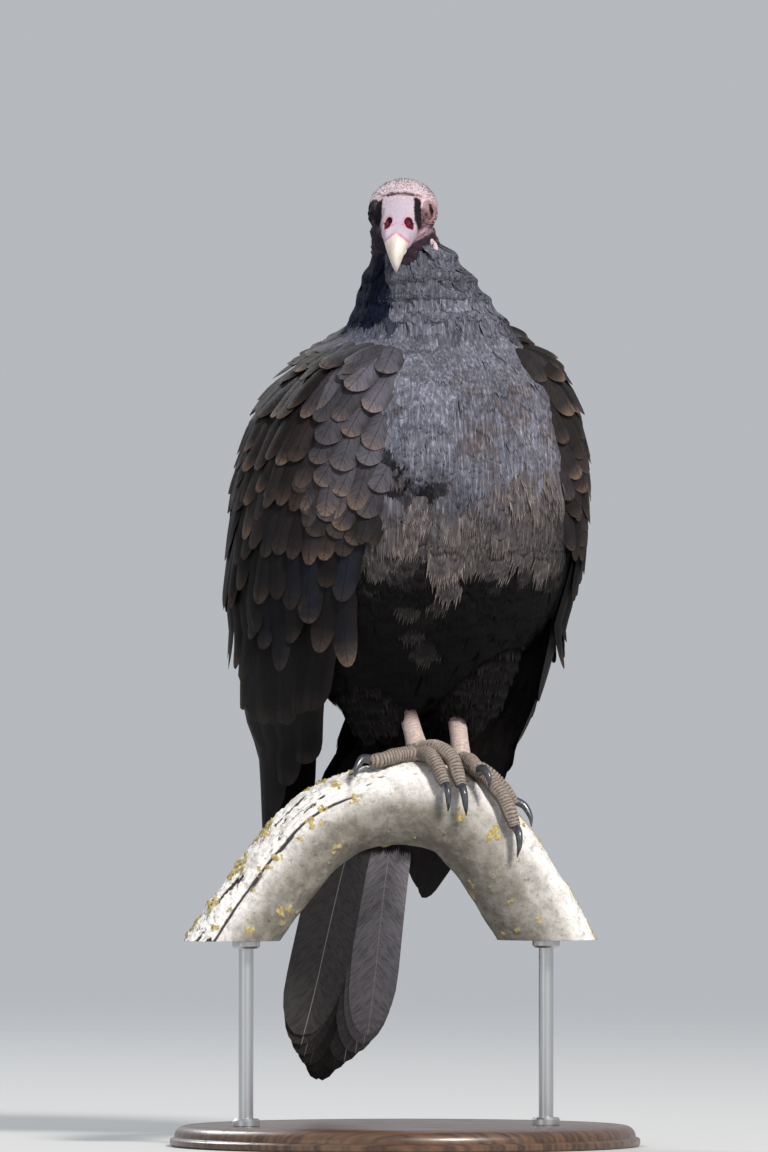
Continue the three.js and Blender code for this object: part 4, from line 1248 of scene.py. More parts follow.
class Form:
    """The pattern of one feather: for each corner its place across, along and out of it, how
    freely it may vary and whether it lies on the rim, with the faces between them."""

    def __init__(self):
        self.corners = []
        self.quads = []
        self.triangles = []

    def vane(self, rows, blunt, thickness, reach=1):
        start = len(self.corners)
        for row in rows:
            half = outline(row, blunt)
            for x in (-1, -0.5, 0, 0.5, 1):
                self.corners.append((x * half, row * reach, 0, 0, abs(x) == 1))
            self.corners.append((0, row * reach, -thickness, 0, 0))
        for row in range(len(rows) - 1):
            for side in range(6):
                here, beside = start + row * 6 + side, start + row * 6 + (side + 1) % 6
                self.quads.append((here, beside, beside + 6, here + 6))
        for first, turn in ((start, 1), (start + 6 * (len(rows) - 1), -1)):
            for side in range(4):
                self.triangles.append((first + side, first + 5, first + side + 1)[::turn])
        return self

    def fringe(self, count, inward, outward, blunt, ridge):
        """Tapered locks of barbs that fray the rounded end of a vane."""
        for number in range(count):
            middle = (2 * number + 1 - count) / count
            half = 1.3 / count
            rim = (blunt + (1 - blunt) * np.sqrt(1 - middle ** 2)) * (1 - outward)
            start = len(self.corners)
            for row, width in ((rim - inward, half), (rim + 0.3 * outward, half * 0.9)):
                self.corners.append((middle - width, row, 0, 0, 1))
                self.corners.append((middle + width, row, 0, 0, 1))
                self.corners.append((middle, row, ridge, 0, 0))
            self.corners.append((middle * 1.03, rim + outward, 0, 1, 1))
            for side in range(3):
                beside = (side + 1) % 3
                self.quads.append(
                    (start + side, start + beside, start + 3 + beside, start + 3 + side))
                self.triangles.append((start + 3 + side, start + 3 + beside, start + 6))
            self.triangles.append((start, start + 2, start + 1))
        return self

    def settled(self):
        corners = np.array(self.corners, float)
        self.x, self.v, self.out, self.free, self.rim = corners.T
        self.quads = np.array(self.quads)
        self.triangles = np.array(self.triangles)
        return self


covert_form = Form().vane(VANE_ROWS, 0.72, 0.35 * MM).settled()
soft_form = Form().vane(SOFT_ROWS, 0.62, 0.15 * MM, 0.84)
soft_form = soft_form.fringe(LOCKS, 0.22, 0.16, 0.66, 0.10 * MM).settled()
shaggy_form = Form().vane(SOFT_ROWS, 0.62, 0.15 * MM, 0.66)
shaggy_form = shaggy_form.fringe(LOCKS, 0.26, 0.27, 0.70, 0.30 * MM).settled()


def add_map(piece, name, places):
    """A map of the piece's corners, from a place for each point."""
    corner = np.empty(len(piece.data.loops), np.int32)
    piece.data.loops.foreach_get("vertex_index", corner)
    flat = piece.data.uv_layers.new(name=name)
    flat.uv.foreach_set("vector", places[corner].astype(np.float32).ravel())


class Plumage:
    """The feathers of one piece, gathered and then made into one mesh."""

    def __init__(self):
        self.parts = []

    def lay(self, place, reach, form, a, b, root, tones, rims=WORN_TAN, rim=0, **style):
        """Feathers rooted at the numbers a and b of a surface. heading turns them from straight
        down towards greater a. depth, lift, camber, tilt, ruffle and rise give how far they lie
        in or stand out of the surface from root to tip, and jag how uneven their locks are.
        rimmed and gap colour their sides worn or dark, and shade darkens them at the root."""
        count = len(a)
        of = {"lift": 0, "camber": 0.05, "tilt": 0, "shade": 0.28, "jag": 0.03, "rise": 1.4,
              "gap": 0, "rimmed": 0.7, **style}
        of = {key: np.broadcast_to(value, (count,))[:, None] for key, value in of.items()}
        path_a, path_b, rate_a, rate_b, outward = [], [], [], [], []
        for _ in range(MARCH_STEPS + 1):
            by_a, by_b, normal = ways(place, a, b, reach)
            down = -unit(by_b)
            side = unit(np.cross(normal, down))
            onward = np.cos(of["heading"]) * down + np.sin(of["heading"]) * side
            beside = -np.sin(of["heading"]) * down + np.cos(of["heading"]) * side
            across = moved(by_a, by_b, beside)
            path_a.append(a)
            path_b.append(b)
            rate_a.append(across[0])
            rate_b.append(across[1])
            outward.append(normal)
            ahead = moved(by_a, by_b, onward)
            a = a + ahead[0] * of["length"][:, 0] / MARCH_STEPS
            b = b + ahead[1] * of["length"][:, 0] / MARCH_STEPS
        v = form.free[None] * chance.normal(0, 1, (count, len(form.v))) * of["jag"]
        v = form.v[None] + v
        at = np.clip(v, 0, 1) * MARCH_STEPS
        whole = np.minimum(at.astype(int), MARCH_STEPS - 1)
        part = at - whole
        number = np.arange(count)[:, None]

        def on_path(values):
            values = np.array(values)
            some = part[..., None] if values.ndim == 3 else part
            return values[whole, number] * (1 - some) + values[whole + 1, number] * some

        x = form.x[None] * of["width"] / 2
        x = x + form.free[None] * chance.normal(0, 0.25, x.shape) * of["width"] * 0.1
        far_a, far_b = on_path(rate_a), on_path(rate_b)
        points = place(on_path(path_a) + far_a * x, on_path(path_b) + far_b * x)
        inner = (1 - np.clip(v, 0, 1)) ** of["rise"]
        out = -of["depth"] * inner + of["lift"] * v ** 2
        out = out + of["camber"] * of["width"] * (1 - form.x[None] ** 2 * 2)
        out = out + of["tilt"] * x + form.out[None]
        out = out + chance.normal(0, 1, (count, 1)) * of["ruffle"] * v ** 2
        points = points + unit(on_path(outward)) * out[..., None]
        tone = np.broadcast_to(tones, (count, 3))
        rim_tone = np.broadcast_to(rims, (count, 3))
        rim_amount = np.broadcast_to(rim, (count,))[:, None]
        beside = np.abs(form.x)[None] ** 5 * (v > 0.35)
        edge = np.clip(of["rimmed"] * beside + ease(v, 0.82, 0.99), 0, 1)
        edge = edge * (0.55 + 0.45 * chance.random((count, 1)))
        amount = (edge * rim_amount)[..., None]
        tint = tone[:, None] * (1 - amount) + rim_tone[:, None] * amount
        tint = tint * (1 - of["shade"] * ease(-v, -0.6, -0.1))[..., None]
        # Painted shade: the sides of a feather near where it tucks under its neighbours are
        # darkened, as in the shadowed gaps between them.
        gap = of["gap"] * np.abs(form.x)[None] ** 3 * ease(-v, -0.93, -0.74)
        tint = tint * (1 - gap)[..., None]
        self.parts.append({
            "form": form, "points": points, "tint": tint,
            "chance": np.repeat(chance.random((count, 1)), len(form.v), axis=1),
            "mm": np.stack([x, v * of["length"]], axis=-1) / MM,
            "root": root, "local": np.stack(
                np.broadcast_arrays(form.x[None] * 0.5 + 0.5, np.clip(v, 0, 1)), axis=-1)})
        return self

    def made(self, name, finish, slot, *nodes):
        """One mesh of all the feathers, with its attributes and its two maps."""
        points, quads, triangles, start = [], [], [], 0
        for part in self.parts:
            form, count = part["form"], len(part["points"])
            size = len(form.v)
            shift = (start + np.arange(count) * size)[:, None, None]
            quads.append((form.quads[None] + shift).reshape(-1, 4))
            triangles.append((form.triangles[None] + shift).reshape(-1, 3))
            points.append(part["points"].reshape(-1, 3))
            start += count * size

        def of_all(key, size):
            return np.concatenate([part[key].reshape(-1, size) for part in self.parts])

        piece = piece_of(name, np.concatenate(points), np.concatenate(quads),
                         np.concatenate(triangles))
        keep_values(piece, tint=np.clip(of_all("tint", 3), 0, 1),
                    chance=of_all("chance", 1).ravel())
        roots = np.concatenate([np.repeat(part["root"], len(part["form"].v), axis=0)
                                for part in self.parts])
        span = roots.max(axis=0) - roots.min(axis=0)
        baked = (roots - roots.min(axis=0)) / span * (1 - PATCH) + of_all("local", 2) * PATCH
        add_map(piece, "OFBake", baked)
        add_map(piece, "vane", of_all("mm", 2))
        rims = np.concatenate([np.tile(part["form"].rim, len(part["points"]))
                               for part in self.parts])
        edges = np.empty(len(piece.data.edges) * 2, np.int32)
        piece.data.edges.foreach_get("vertices", edges)
        sharp = (rims[edges.reshape(-1, 2)] > 0).all(axis=1)
        crisp = piece.data.attributes.new("sharp_edge", "BOOLEAN", "EDGE")
        crisp.data.foreach_set("value", sharp)
        return dressed(piece, finish, slot, *nodes)


def row_of(place, start, end, height, spacing, shift):
    """Numbers along a level row on a surface, a spacing apart, from start to end."""
    a = np.linspace(start, end, 160)
    run = run_of(place(a, np.full_like(a, height)))
    count = max(1, int(run[-1] / spacing))
    return np.interp((np.arange(count) + shift) / count * run[-1], run, a)


def rows_over(place, start, end, low, high, exposed, spacing, disorder=0.12):
    """Numbers a and b of staggered rows from low to high, with a little disorder."""
    found, height, number = [], low, 0
    while height < high:
        a = row_of(place, start(height), end(height), height, spacing(height),
                   0.25 + 0.5 * (number % 2))
        found.append(np.column_stack([a, np.full(len(a), height)]))
        height += exposed(height)
        number += 1
    found = np.vstack(found)
    found[:, 1] += chance.normal(0, 1, len(found)) * disorder * exposed(found[:, 1])
    return found[:, 0], found[:, 1]


def downy(name, roughness, specular, shafted, barb_lean, silky=0):
    """The finish of feathers: barbs that run out from the shaft, and the shaft itself. Silky
    ones show long strands that run down the body over many feathers."""
    finish = Finish(name, {"Specular IOR Level": specular})
    tint = finish.kept("tint", "Color")
    split = finish.node("SeparateXYZ", {}, finish.node("UVMap", {"uv_map": "vane"}), output="X")
    along = split.beside("Y")
    aside = abs(split)
    barb = finish.node("CombineXYZ", {}, aside * (1.2 - barb_lean),
                       (along - aside) * barb_lean, finish.kept("chance") * 40)
    strands = finish.noise(1.1, 4, barb, 0.62)
    if silky:
        lie = finish.stretched(finish.place(), (1, 1, STRAND_STRETCH))
        flow = finish.noise(STRAND_FINE, 5, lie, 0.62)
        strands = strands * (1 - silky) + flow * silky
    blotch = finish.noise(0.10, 2, barb)
    shaft = aside.rise(0.55, 0.2)
    tone = finish.mixed(strands.rise(0.36, 0.70) * 0.55, tint, BARB_DARK)
    tone = finish.mixed(blotch.rise(0.50, 0.75) * 0.25, tone, BLOTCH_DARK)
    if silky:
        # Painted highlight: the long strands are brightened where the flow runs low.
        tone = finish.mixed(flow.rise(0.50, 0.30), tone, STRAND_PAINTED_HIGHLIGHT, "MULTIPLY")
    if shafted < 0:  # pale shafts, which fade into the dark feathers
        tone = finish.mixed(shaft * tint.rise(0.008, 0.06) * -shafted, tone, SHAFT_PALE)
    else:
        tone = finish.mixed(shaft * shafted, tone, SHAFT_DARK)
    finish.drive("Base Color", tone)
    finish.drive("Roughness", roughness + strands * 0.25)
    finish.bump(strands + shaft * 0.5, 0.00030)
    return finish


plume = downy("soft_plume", 0.65, 0.08, 0.02, 0.14, 0.80)
body_wrap = Wrap(["trunk", "neck"], BODY_AXIS, 5)


def breast_swell(angle, height):
    """How far the plumage stands out of the plain form: soft neck folds and the breast's lap."""
    turned_to = np.angle(np.exp(1j * angle))
    swell = np.zeros(np.broadcast(angle, height).shape)
    for fold in NECK_FOLDS:
        waver = fold + 1.6 * MM * np.sin(3 * turned_to + fold * 900)
        deep = 1.2 - 0.8 * ease(-turned_to, 0.2, 1.0)
        swell = swell + 2.6 * MM * deep * hill(height, waver + 4.0 * MM, 4.5 * MM)
        swell = swell - 2.2 * MM * deep * hill(height, waver - 3.2 * MM, 2.6 * MM)
    swell = swell + 2.5 * MM * hill(height, 0.600, 0.018) * ease(np.sin(turned_to), 0.1, 0.9)
    for middle, level, across, down, stands in LOBES:
        off = np.hypot((turned_to - middle) / across, (height - level) / down)
        swell = swell + stands * MM * np.sqrt(np.clip(1 - off ** 2, 0, 1))
    sunk = hill(turned_to, -0.02, 0.20) * hill(height, 0.4365, 0.008)
    return swell - 6 * MM * sunk


def body_place(angle, height):
    return body_wrap.place(angle, height, breast_swell(angle, height))


def body_tones(points):
    """The colour of the plumage and how worn its tips are, at places on the body."""
    x, y, z = points.T
    patch = clouds(points, 42, 3, 41)
    fine = clouds(points, 70, 2, 42)
    front = ease(-y, 0.010, 0.055)
    # Partly the grey of the breast and partly a painted bluish sheen, on the front of the upper
    # breast.
    grey_and_painted_sheen = ease(z + 0.012 * patch - 0.15 * np.clip(x - 0.05, 0, 1), 0.404, 0.446) * front
    tone = blend(all_over(SOOT, len(points)), GREY_AND_PAINTED_SHEEN, grey_and_painted_sheen * (0.80 + 0.35 * fine))
    brown = ease(patch + 0.5 * fine, 0.02, 0.40) * ease(z, 0.40, 0.45) * ease(-z, -0.545, -0.50)
    tone = blend(tone, BREAST_BROWN, 0.75 * brown * front)
    tone = blend(tone, BREAST_BROWN, 0.35 * ease(x, 0.055, 0.10) * ease(z, 0.41, 0.45) * front)
    tone = tone * (1 + 0.40 * ease(x, 0.060, 0.095) * ease(z, 0.41, 0.45) * front)[:, None]
    middle = hill(x, 0.050, 0.016) * hill(z, 0.478, 0.022) * front
    tone = blend(tone, BREAST_BROWN, 0.55 * ease(middle + 0.3 * patch, 0.2, 0.9))
    # Painted shade: the neck is darkened to inky blue-black on the bird's right side, as if turned
    # from the light.
    painted_shade_neck = ease(z, 0.541, 0.553) * ease(-(x - (z - 0.56) * -0.10), 0.008, 0.014)
    tone = blend(tone, PAINTED_SHADE_INKY, painted_shade_neck)
    shag = between(z + 0.010 * patch, 0.385, 0.45, 14 * MM) * ease(x, -0.05, -0.02) * front
    tone = blend(tone, WORN_UNDER, 0.75 * shag * (1 - grey_and_painted_sheen))
    worn = 0.30 * shag * ease(fine, -0.3, 0.4)
    for middle, height, across, down, strength in WORN_PATCHES:
        spot = 1.15 * hill(x, middle * MM, across * MM) * hill(z, height * MM, down * MM)
        worn = np.maximum(worn, strength * ease(spot + 0.45 * patch + 0.2 * fine, 0.35, 0.75))
    worn = worn * front
    tone = blend(tone, WORN_UNDER, 0.8 * worn)
    worn = np.maximum(worn, 0.15 * brown * front)
    for middle, level, across, down, painted_shadow in FOLDS[::-1]:
        ring = np.hypot((x - middle) / across, (z - level) / down)
        # The smooth folds stand out in the same grey with its painted sheen.
        smooth = ease(-ring - 0.08 * patch, -1.05, -0.75) * front
        tone = blend(tone, GREY_AND_PAINTED_SHEEN, 0.75 * smooth)
        # Painted shadow: beneath each fold the plumage is darkened to soot, as if shaded by the
        # fold.
        beneath = between(ring + 0.15 * fine, 1.02, 1.05 + 0.65 * painted_shadow, 0.16) * front
        beneath *= ease(level - 0.3 * down - z, -0.010, 0.008) * ease(-x, -0.032, -0.016)
        tone = blend(tone, SOOT, painted_shadow * beneath)
        worn = worn * (1 - np.maximum(0.8 * smooth, beneath))
    # Painted shade: the plumage just under the chin is darkened to inky black, as in the shadow of
    # the head.
    chin = ease(z - 0.25 * (x - 0.004), 0.6010, 0.6045) * ease(-x, -0.024, -0.016) * front
    tone = blend(tone, PAINTED_SHADE_INKY, 0.9 * chin)
    tone = tone * (1 - 0.25 * ease(z, 0.560, 0.580) * front)[:, None]
    # Painted shade: a dark line along the crease under the top fold of the neck.
    crease = hill(z + 0.0015 * fine, 0.5965, 0.0022) * between(x, 0.003, 0.017, 0.003) * front
    tone = blend(tone, SOOT, 0.85 * crease)
    return tone, np.clip(worn, 0, 1)


def body_size(height):
    """Width, length and exposed length of a body feather at each height."""
    on_neck = ease(height, 0.535, 0.60)
    low_down = ease(-height, -0.44, -0.38)
    width = (13 - 6 * on_neck + 5 * low_down) * MM
    span = (34 - 13 * on_neck + 12 * low_down) * MM
    return width, span, (7.2 - 3.0 * on_neck + 3.0 * low_down) * MM


for name, (low, high) in BANDS.items():
    a, b = rows_over(body_place, lambda z: -pi, lambda z: pi, low, high,
                     lambda z: body_size(z)[2], lambda z: body_size(z)[0] * 0.55, ROW_DISORDER)
    width, span, _ = body_size(b)
    points = body_place(a, b)
    tones, worn = body_tones(body_place(a, b - SHOWN * span))
    tones = tones * np.exp(chance.normal(0, 0.05, (len(a), 1)))
    vary = np.exp(chance.normal(0, 0.10, (2, len(a))))
    low_down = ease(-b, -0.44, -0.38)
    bared = between(points[:, 0], -0.003, 0.015, 0.007) * ease(-points[:, 1], 0.020, 0.040)
    root = b + LAID_BELOW * span
    below_ruff = root < RUFF_EDGE + (points[:, 0] + 0.022) * RUFF_SLOPE - RUFF_BARED * bared
    shaggy = (worn > SHAGGY_WEAR) | (b < SHAGGY_BELOW)
    coat = Plumage()
    for pick, form in ((shaggy, shaggy_form), (~shaggy, soft_form)):
        pick = pick & below_ruff
        if pick.any():
            coat.lay(body_place, LIE_STEPS, form, a[pick], root[pick],
                     np.column_stack([a[pick], b[pick]]), tones[pick], rim=worn[pick],
                     heading=chance.normal(0, 0.13, pick.sum()), length=(span * vary[0])[pick],
                     width=(width * vary[1])[pick], lift=0.05 * MM, shade=0.03, rise=2.2,
                     depth=(4.5 + 2 * low_down[pick]) * MM, camber=0.004,
                     jag=np.where(worn[pick] > SHAGGY_WEAR, 0.08, 0.06),
                     ruffle=np.where(worn[pick] > 0.3, 1.5, 0.14) * MM)
    coat.made(f"coat_{name}", plume, "plumage")


# ------------------------------------------------------------------ thigh plumage
# The drumsticks wear short soft feathers in rings, sooty like the belly's. They are rooted in the
# skin of the thigh, lie down along the leg and end in a loose cuff over the bare shank.
THIGH_AXES = {
    "right": ((-9, 38, 268), (-14, 31, 284), (-21, 18, 312), (-26, 3, 346), (-28, -14, 386)),
    "left": ((35, 41, 272), (38, 37, 288), (43, 28, 312), (47, 17, 344), (48, 6, 382)),
}
THIGH_TOP = 0.368
THIGH_EXPOSED = 8.5 * MM
THIGH_SPACING = 6 * MM

for side, axis in THIGH_AXES.items():
    wrap = Wrap([f"thigh_{side}"], np.array(axis, float) * MM, 4)
    a, b = rows_over(wrap.place, lambda z: -pi, lambda z: pi, wrap.low + 4 * MM, THIGH_TOP,
                     lambda z: THIGH_EXPOSED, lambda z: THIGH_SPACING)
    tones, worn = body_tones(wrap.place(a, b))
    coat = Plumage()
    root = np.minimum(b + 17 * MM, wrap.high - MM)
    coat.lay(wrap.place, (0.05, 2 * MM), shaggy_form, a, root,
             np.column_stack([a, b]), tones, rim=worn + 0.10,
             heading=chance.normal(0, 0.12, len(a)), length=24 * MM, width=12 * MM,
             depth=4 * MM, lift=1.2 * MM, jag=0.08, ruffle=1.2 * MM)
    coat.made(f"coat_thigh_{side}", plume, "plumage")


# ------------------------------------------------------------------ wing coverts
# Rows of small stiff feathers clothe each folded upper wing like tiles: short and round near its
# front edge, longer towards the rear and below. They are grey-brown, edged with worn tan, and
# darken to a bluish black on the outside of the wing: the grey near the front edge is partly
# painted light, the darkening away from it partly painted shade, and the gaps between the
# feathers are painted dark as shade.
COVERT_AXES = {
    "right": ((-42, 8, 352), (-26, -11, 458), (-20, -20, 556)),
    "left": ((38, 28, 352), (46, 19, 458), (50, 4, 554)),
}
COVERT_GREY = (0.088, 0.084, 0.106)
COVERT_BROWN = (0.023, 0.0165, 0.0155)
COVERT_BLUE = (0.008, 0.010, 0.017)
COVERT_BLACK = (0.0040, 0.0034, 0.0038)
COVERT_RIM = (0.300, 0.200, 0.140)
# Painted shade: the bird's left wing is painted darker as a whole than the right one.
WING_PAINTED_SHADE = {"right": 0, "left": 0.6}  # how much darker a wing is, as if further from its front edge
WING_DOME = 16 * MM
COVERT_BANDS = (  # from and to behind the front edge, tips from and to, how much of each shows,
    # and its width, length and turn
    (0.06, 9, 0.334, 0.436, 31, 17, 80, -0.05),
    (0.45, 9, 0.436, 0.520, 24, 17, 58, -0.20),
    (0.85, 9, 0.520, 0.562, 14, 15, 36, -0.55),
    (-0.04, 0.52, 0.408, 0.520, 17, 20, 42, -0.40),
    (-0.04, 0.90, 0.520, 0.562, 12, 17, 31, -0.90),
)


def wing_tones(points, from_front):
    """The colour and the wear of wing feathers, darker away from the front edge and below."""
    patch = clouds(points, 38, 3, 51)
    fine = clouds(points, 130, 2, 52)
    z = points[:, 2]
    # Partly the grey of the front coverts and partly painted light near the front edge; away from
    # it the feathers darken to brown and black, partly as painted shade.
    grey_and_painted_light = ease(-from_front + 0.15 * patch, -0.75, -0.25) * ease(z, 0.40, 0.45)
    middle = ease(-from_front + 0.2 * patch, -1.9, -0.9) * ease(z, 0.36, 0.44)
    tone = blend(all_over(COVERT_BLACK, len(points)), COVERT_BLUE, ease(fine, -0.1, 0.4) * 0.8)
    tone = blend(tone, COVERT_BROWN, middle * (0.75 + 0.3 * fine))
    tone = blend(tone, COVERT_GREY, grey_and_painted_light * (0.80 + 0.4 * fine))
    worn = 0.16 + 0.50 * ease(chance.random(len(points)) + 0.5 * patch, 0.45, 0.95)
    return tone, worn * (0.35 + 0.65 * np.maximum(middle, 0.3))


quill = downy("stiff_vane", 0.52, 0.12, 0.45, 1.0)
wings = {}
for side, sign in (("right", -1), ("left", 1)):
    axis = np.array(COVERT_AXES[side], float) * MM
    wrap = Wrap([f"wing_{side}_coverts"], axis, 3, sign * pi / 2, WING_DOME)
    wings[side] = wrap
    coat = Plumage()
    for begin, stop, low, high, exposed, width, span, turned_by in COVERT_BANDS:
        def start(z):
            return wrap.front(z) + sign * begin

        def last(z):
            ends = (wrap.front(z) + sign * stop, wrap.back(z))
            return min(ends) if sign > 0 else max(ends)

        a, tip = rows_over(wrap.place, start, last, low, high, lambda z: exposed * MM,
                           lambda z: width * 0.66 * MM)
        b = np.minimum(tip + span * 0.92 * MM, wrap.high + TOP_ROOTS)
        behind = np.abs(a - wrap.front(tip))
        tones, worn = wing_tones(wrap.place(a, tip), behind + WING_PAINTED_SHADE[side])
        tones = tones * np.exp(chance.normal(0, 0.26, (len(a), 1)))
        vary = np.exp(chance.normal(0, 0.09, (2, len(a))))
        heading = (turned_by + chance.normal(0, 0.07, len(a))) * -sign
        swing = np.sin(heading) * (b - tip) / 0.10
        coat.lay(wrap.place, LIE_STEPS, covert_form, a - 0.8 * swing, b,
                 np.column_stack([a, tip]), tones, COVERT_RIM, worn, heading=heading,
                 length=np.maximum(b - tip, 12 * MM) * vary[0] / np.cos(heading),
                 width=width * MM * vary[1], depth=5 * MM, lift=0.9 * MM, camber=0.07,
                 tilt=-sign * 0.05, ruffle=0.5 * MM, gap=0.75, rimmed=0.35)
    coat.made(f"coat_wing_{side}", quill, "plumage")

# The skin beneath the feathers carries their colours, with their painted light and shade.
places = corners_of(skin)
beneath = body_tones(places)[0]
for side, wrap in wings.items():
    height = np.clip(places[:, 2], wrap.low, wrap.high)
    off = (places - wrap.centre(height))[:, :2]
    angle = np.arctan2(off[:, 0], -off[:, 1])
    front, back = wrap.front(height), wrap.back(height)
    behind = np.abs(np.angle(np.exp(1j * (angle - front))))
    apart = np.abs(np.hypot(off[:, 0], off[:, 1]) - wrap.reach(angle, height))
    on_wing = ease(-apart, -9 * MM, -6 * MM) * (behind < np.abs(back - front))
    beneath = blend(beneath, wing_tones(places, behind + WING_PAINTED_SHADE[side])[0], on_wing)
beneath = np.clip(blend(beneath, bare_tint, bare_part), 0, 1)
layer = skin.data.attributes["tint"]
layer.data.foreach_set("color", np.hstack([beneath, np.ones((len(places), 1))]).ravel())


# ------------------------------------------------------------------ flight feathers
# The secondaries and, below them, the long primaries of each folded wing: stiff vanes with a
# raised shaft, each lying partly under the next, blackish with a faint blue or brown bloom.
FLIGHT_AXES = {
    "right": ((-78, 117, 150), (-70, 95, 190), (-62, 66, 264), (-45, 10, 349), (-33, -5, 430)),
    "left": ((-4, 128, 142), (12, 108, 190), (40, 84, 264), (52, 40, 349), (56, 22, 430)),
}
FLIGHT_BLACK = (0.0018, 0.0016, 0.0019)
FLIGHT_BROWN = (0.0055, 0.0042, 0.0040)
FLIGHT_BLUE = (0.0042, 0.0052, 0.0085)
FLIGHT_RIM = (0.055, 0.040, 0.033)
FLIGHT_WIDTH = 25 * MM
LONG_ROWS = (0, 0.1, 0.2, 0.3, 0.4, 0.5, 0.6, 0.7, 0.78, 0.85, 0.9, 0.94, 0.97, 0.99, 1)
SHAFT_HEIGHT = 0.7 * MM

flight_form = Form().vane(LONG_ROWS, 0.80, 0.5 * MM).settled()
flight_form.out = flight_form.out + SHAFT_HEIGHT * (flight_form.x == 0) * (flight_form.out == 0)
flight_finish = downy("flight_vane", 0.50, 0.12, 0.5, 1.0)

for side, sign in (("right", -1), ("left", 1)):
    axis = np.array(FLIGHT_AXES[side], float) * MM
    names = [f"wing_{side}_{part}" for part in ("primaries", "secondaries")]
    wrap = Wrap(names, axis, 3, sign * pi / 2)
    rows = (  # how many, their roots, their lowest and highest tip, and depth, lift and tilt
        ("primaries", 9, 0.330, wrap.low + 2 * MM, 0.238, 2, 1.2, 0.07),
        ("secondaries", 15, 0.412, 0.266, 0.318, 7, 0.4, 0.09),
    )
    for part, count, root, low, high, depth, lift, tilt in rows:
        share = (np.arange(count) + 0.5) / count
        if part == "primaries":
            tip = low + (high - low) * np.abs(share - 0.55) / 0.55
        else:
            tip = low + (high - low) * (0.5 + 0.5 * np.cos(share * 2 * pi * 0.9 + 1.9))
        tip = tip + chance.normal(0, 2.5 * MM, count)
        a = wrap.front(root) + (wrap.back(root) - wrap.front(root)) * (0.06 + 0.88 * share)
        tip_a = wrap.front(tip) + (wrap.back(tip) - wrap.front(tip)) * (0.10 + 0.80 * share)
        drift = (tip_a - a) * wrap.reach((a + tip_a) / 2, (root + tip) / 2)
        fine = chance.random((count, 1))
        tones = np.array(FLIGHT_BLACK) + (np.array(FLIGHT_BROWN) - FLIGHT_BLACK) * fine
        tones = tones + (np.array(FLIGHT_BLUE) - tones) * (0.55 * chance.random((count, 1)))
        coat = Plumage()
        coat.lay(wrap.place, LIE_STEPS, flight_form, a, np.full(count, root),
                 np.column_stack([share, 0.5 + 0.3 * np.cos(share * 9)]), tones, FLIGHT_RIM,
                 0.45 * chance.random(count) + 0.15, heading=np.arctan2(drift, root - tip),
                 length=np.hypot(drift, root - tip), width=FLIGHT_WIDTH, depth=depth * MM,
                 lift=lift * MM, camber=0.035, tilt=-sign * tilt, ruffle=0.8 * MM)
        coat.made(f"{part}_{side}", flight_finish, "flight_feather", f"wing_{side}_{part}")


# ------------------------------------------------------------------ tail
# Twelve tail feathers closed over one another, the outermost pair nearest the front of the bird
# and shortest, the middle pair longest; pale grey beneath with whitish shafts, and darker in the
# middle. Short dark feathers cover their roots on both sides.
TAIL_BASE = np.array((-5, 50, 290)) * MM
TAIL_LIE_STEPS = (2 * MM, 2 * MM)
TAIL_SLANT = radians(24)
TAIL_AZIMUTH = radians(30)
TAIL_DOWN = np.array((-sin(TAIL_SLANT) * sin(TAIL_AZIMUTH), sin(TAIL_SLANT) * cos(TAIL_AZIMUTH),
                      -cos(TAIL_SLANT)))
TAIL_ACROSS = np.array((cos(TAIL_AZIMUTH), sin(TAIL_AZIMUTH), 0))
TAIL_FRONT = np.cross(TAIL_DOWN, TAIL_ACROSS)
TAIL_TIPS = {  # across and down at the tip, and width, from the outermost feather inwards
    -1: ((-20, 239, 50), (-19, 247, 44), (-13, 256, 40), (-6, 264, 38), (0, 270, 36), (4, 276, 34)),
    1: ((32, 239, 36), (31, 246, 38), (27, 254, 38), (21, 262, 38), (15, 269, 36), (9, 277, 34)),
}
# The pale grey underside of the tail, painted darker on the bird's right as shade and paler on its
# left as light.
RECTRIX_GREY_PAINTED_LIGHT = {-1: (0.082, 0.078, 0.080), 1: (0.270, 0.258, 0.285)}
RECTRIX_DARK = (0.0045, 0.0038, 0.0038)
RECTRIX_START = -22 * MM  # how far above the tail's base the feathers are rooted
COVERT_ROWS = (4, 18, 32, 46, 60, 74)
COVERTS_ABREAST = 9


def tail_place(front):
    """The sheet that tail feathers lie on, facing the front or the back of the bird."""
    def place(a, b):
        arch = -5 * MM * (1 - (a / (48 * MM)) ** 2)
        arch = arch - 4 * MM * np.sin(np.clip(-b, 0, 0.2) / 0.2 * pi)
        return (TAIL_BASE + front * TAIL_ACROSS * np.asarray(a)[..., None]
                - TAIL_DOWN * np.asarray(b)[..., None]
                + TAIL_FRONT * np.asarray(arch)[..., None])
    return place


coat = Plumage()
for side, tips in TAIL_TIPS.items():
    for number, (across, down, width) in enumerate(tips):
        inward = number / 5
        root = side * (12 - 10 * inward) * MM
        drift, drop = across * MM - root, down * MM + RECTRIX_START
        grey = np.array([RECTRIX_GREY_PAINTED_LIGHT[side]]) * (1 - inward) ** 2.0
        tones = grey + np.array([RECTRIX_DARK]) * inward ** 0.5
        level = (3.6 - 1.35 * number - (0.6 if side > 0 else 0)) * MM
        coat.lay(tail_place(1), TAIL_LIE_STEPS, flight_form, np.array([root]),
                 np.array([RECTRIX_START]),
                 np.array([[0.5 + side * (0.5 - 0.08 * number), 0.1 + 0.8 * inward]]), tones,
                 FLIGHT_RIM, 0.12, heading=np.arctan2(drift, drop), length=np.hypot(drift, drop),
                 width=width * MM, depth=-level, rise=0, camber=0.03, ruffle=0.2 * MM)
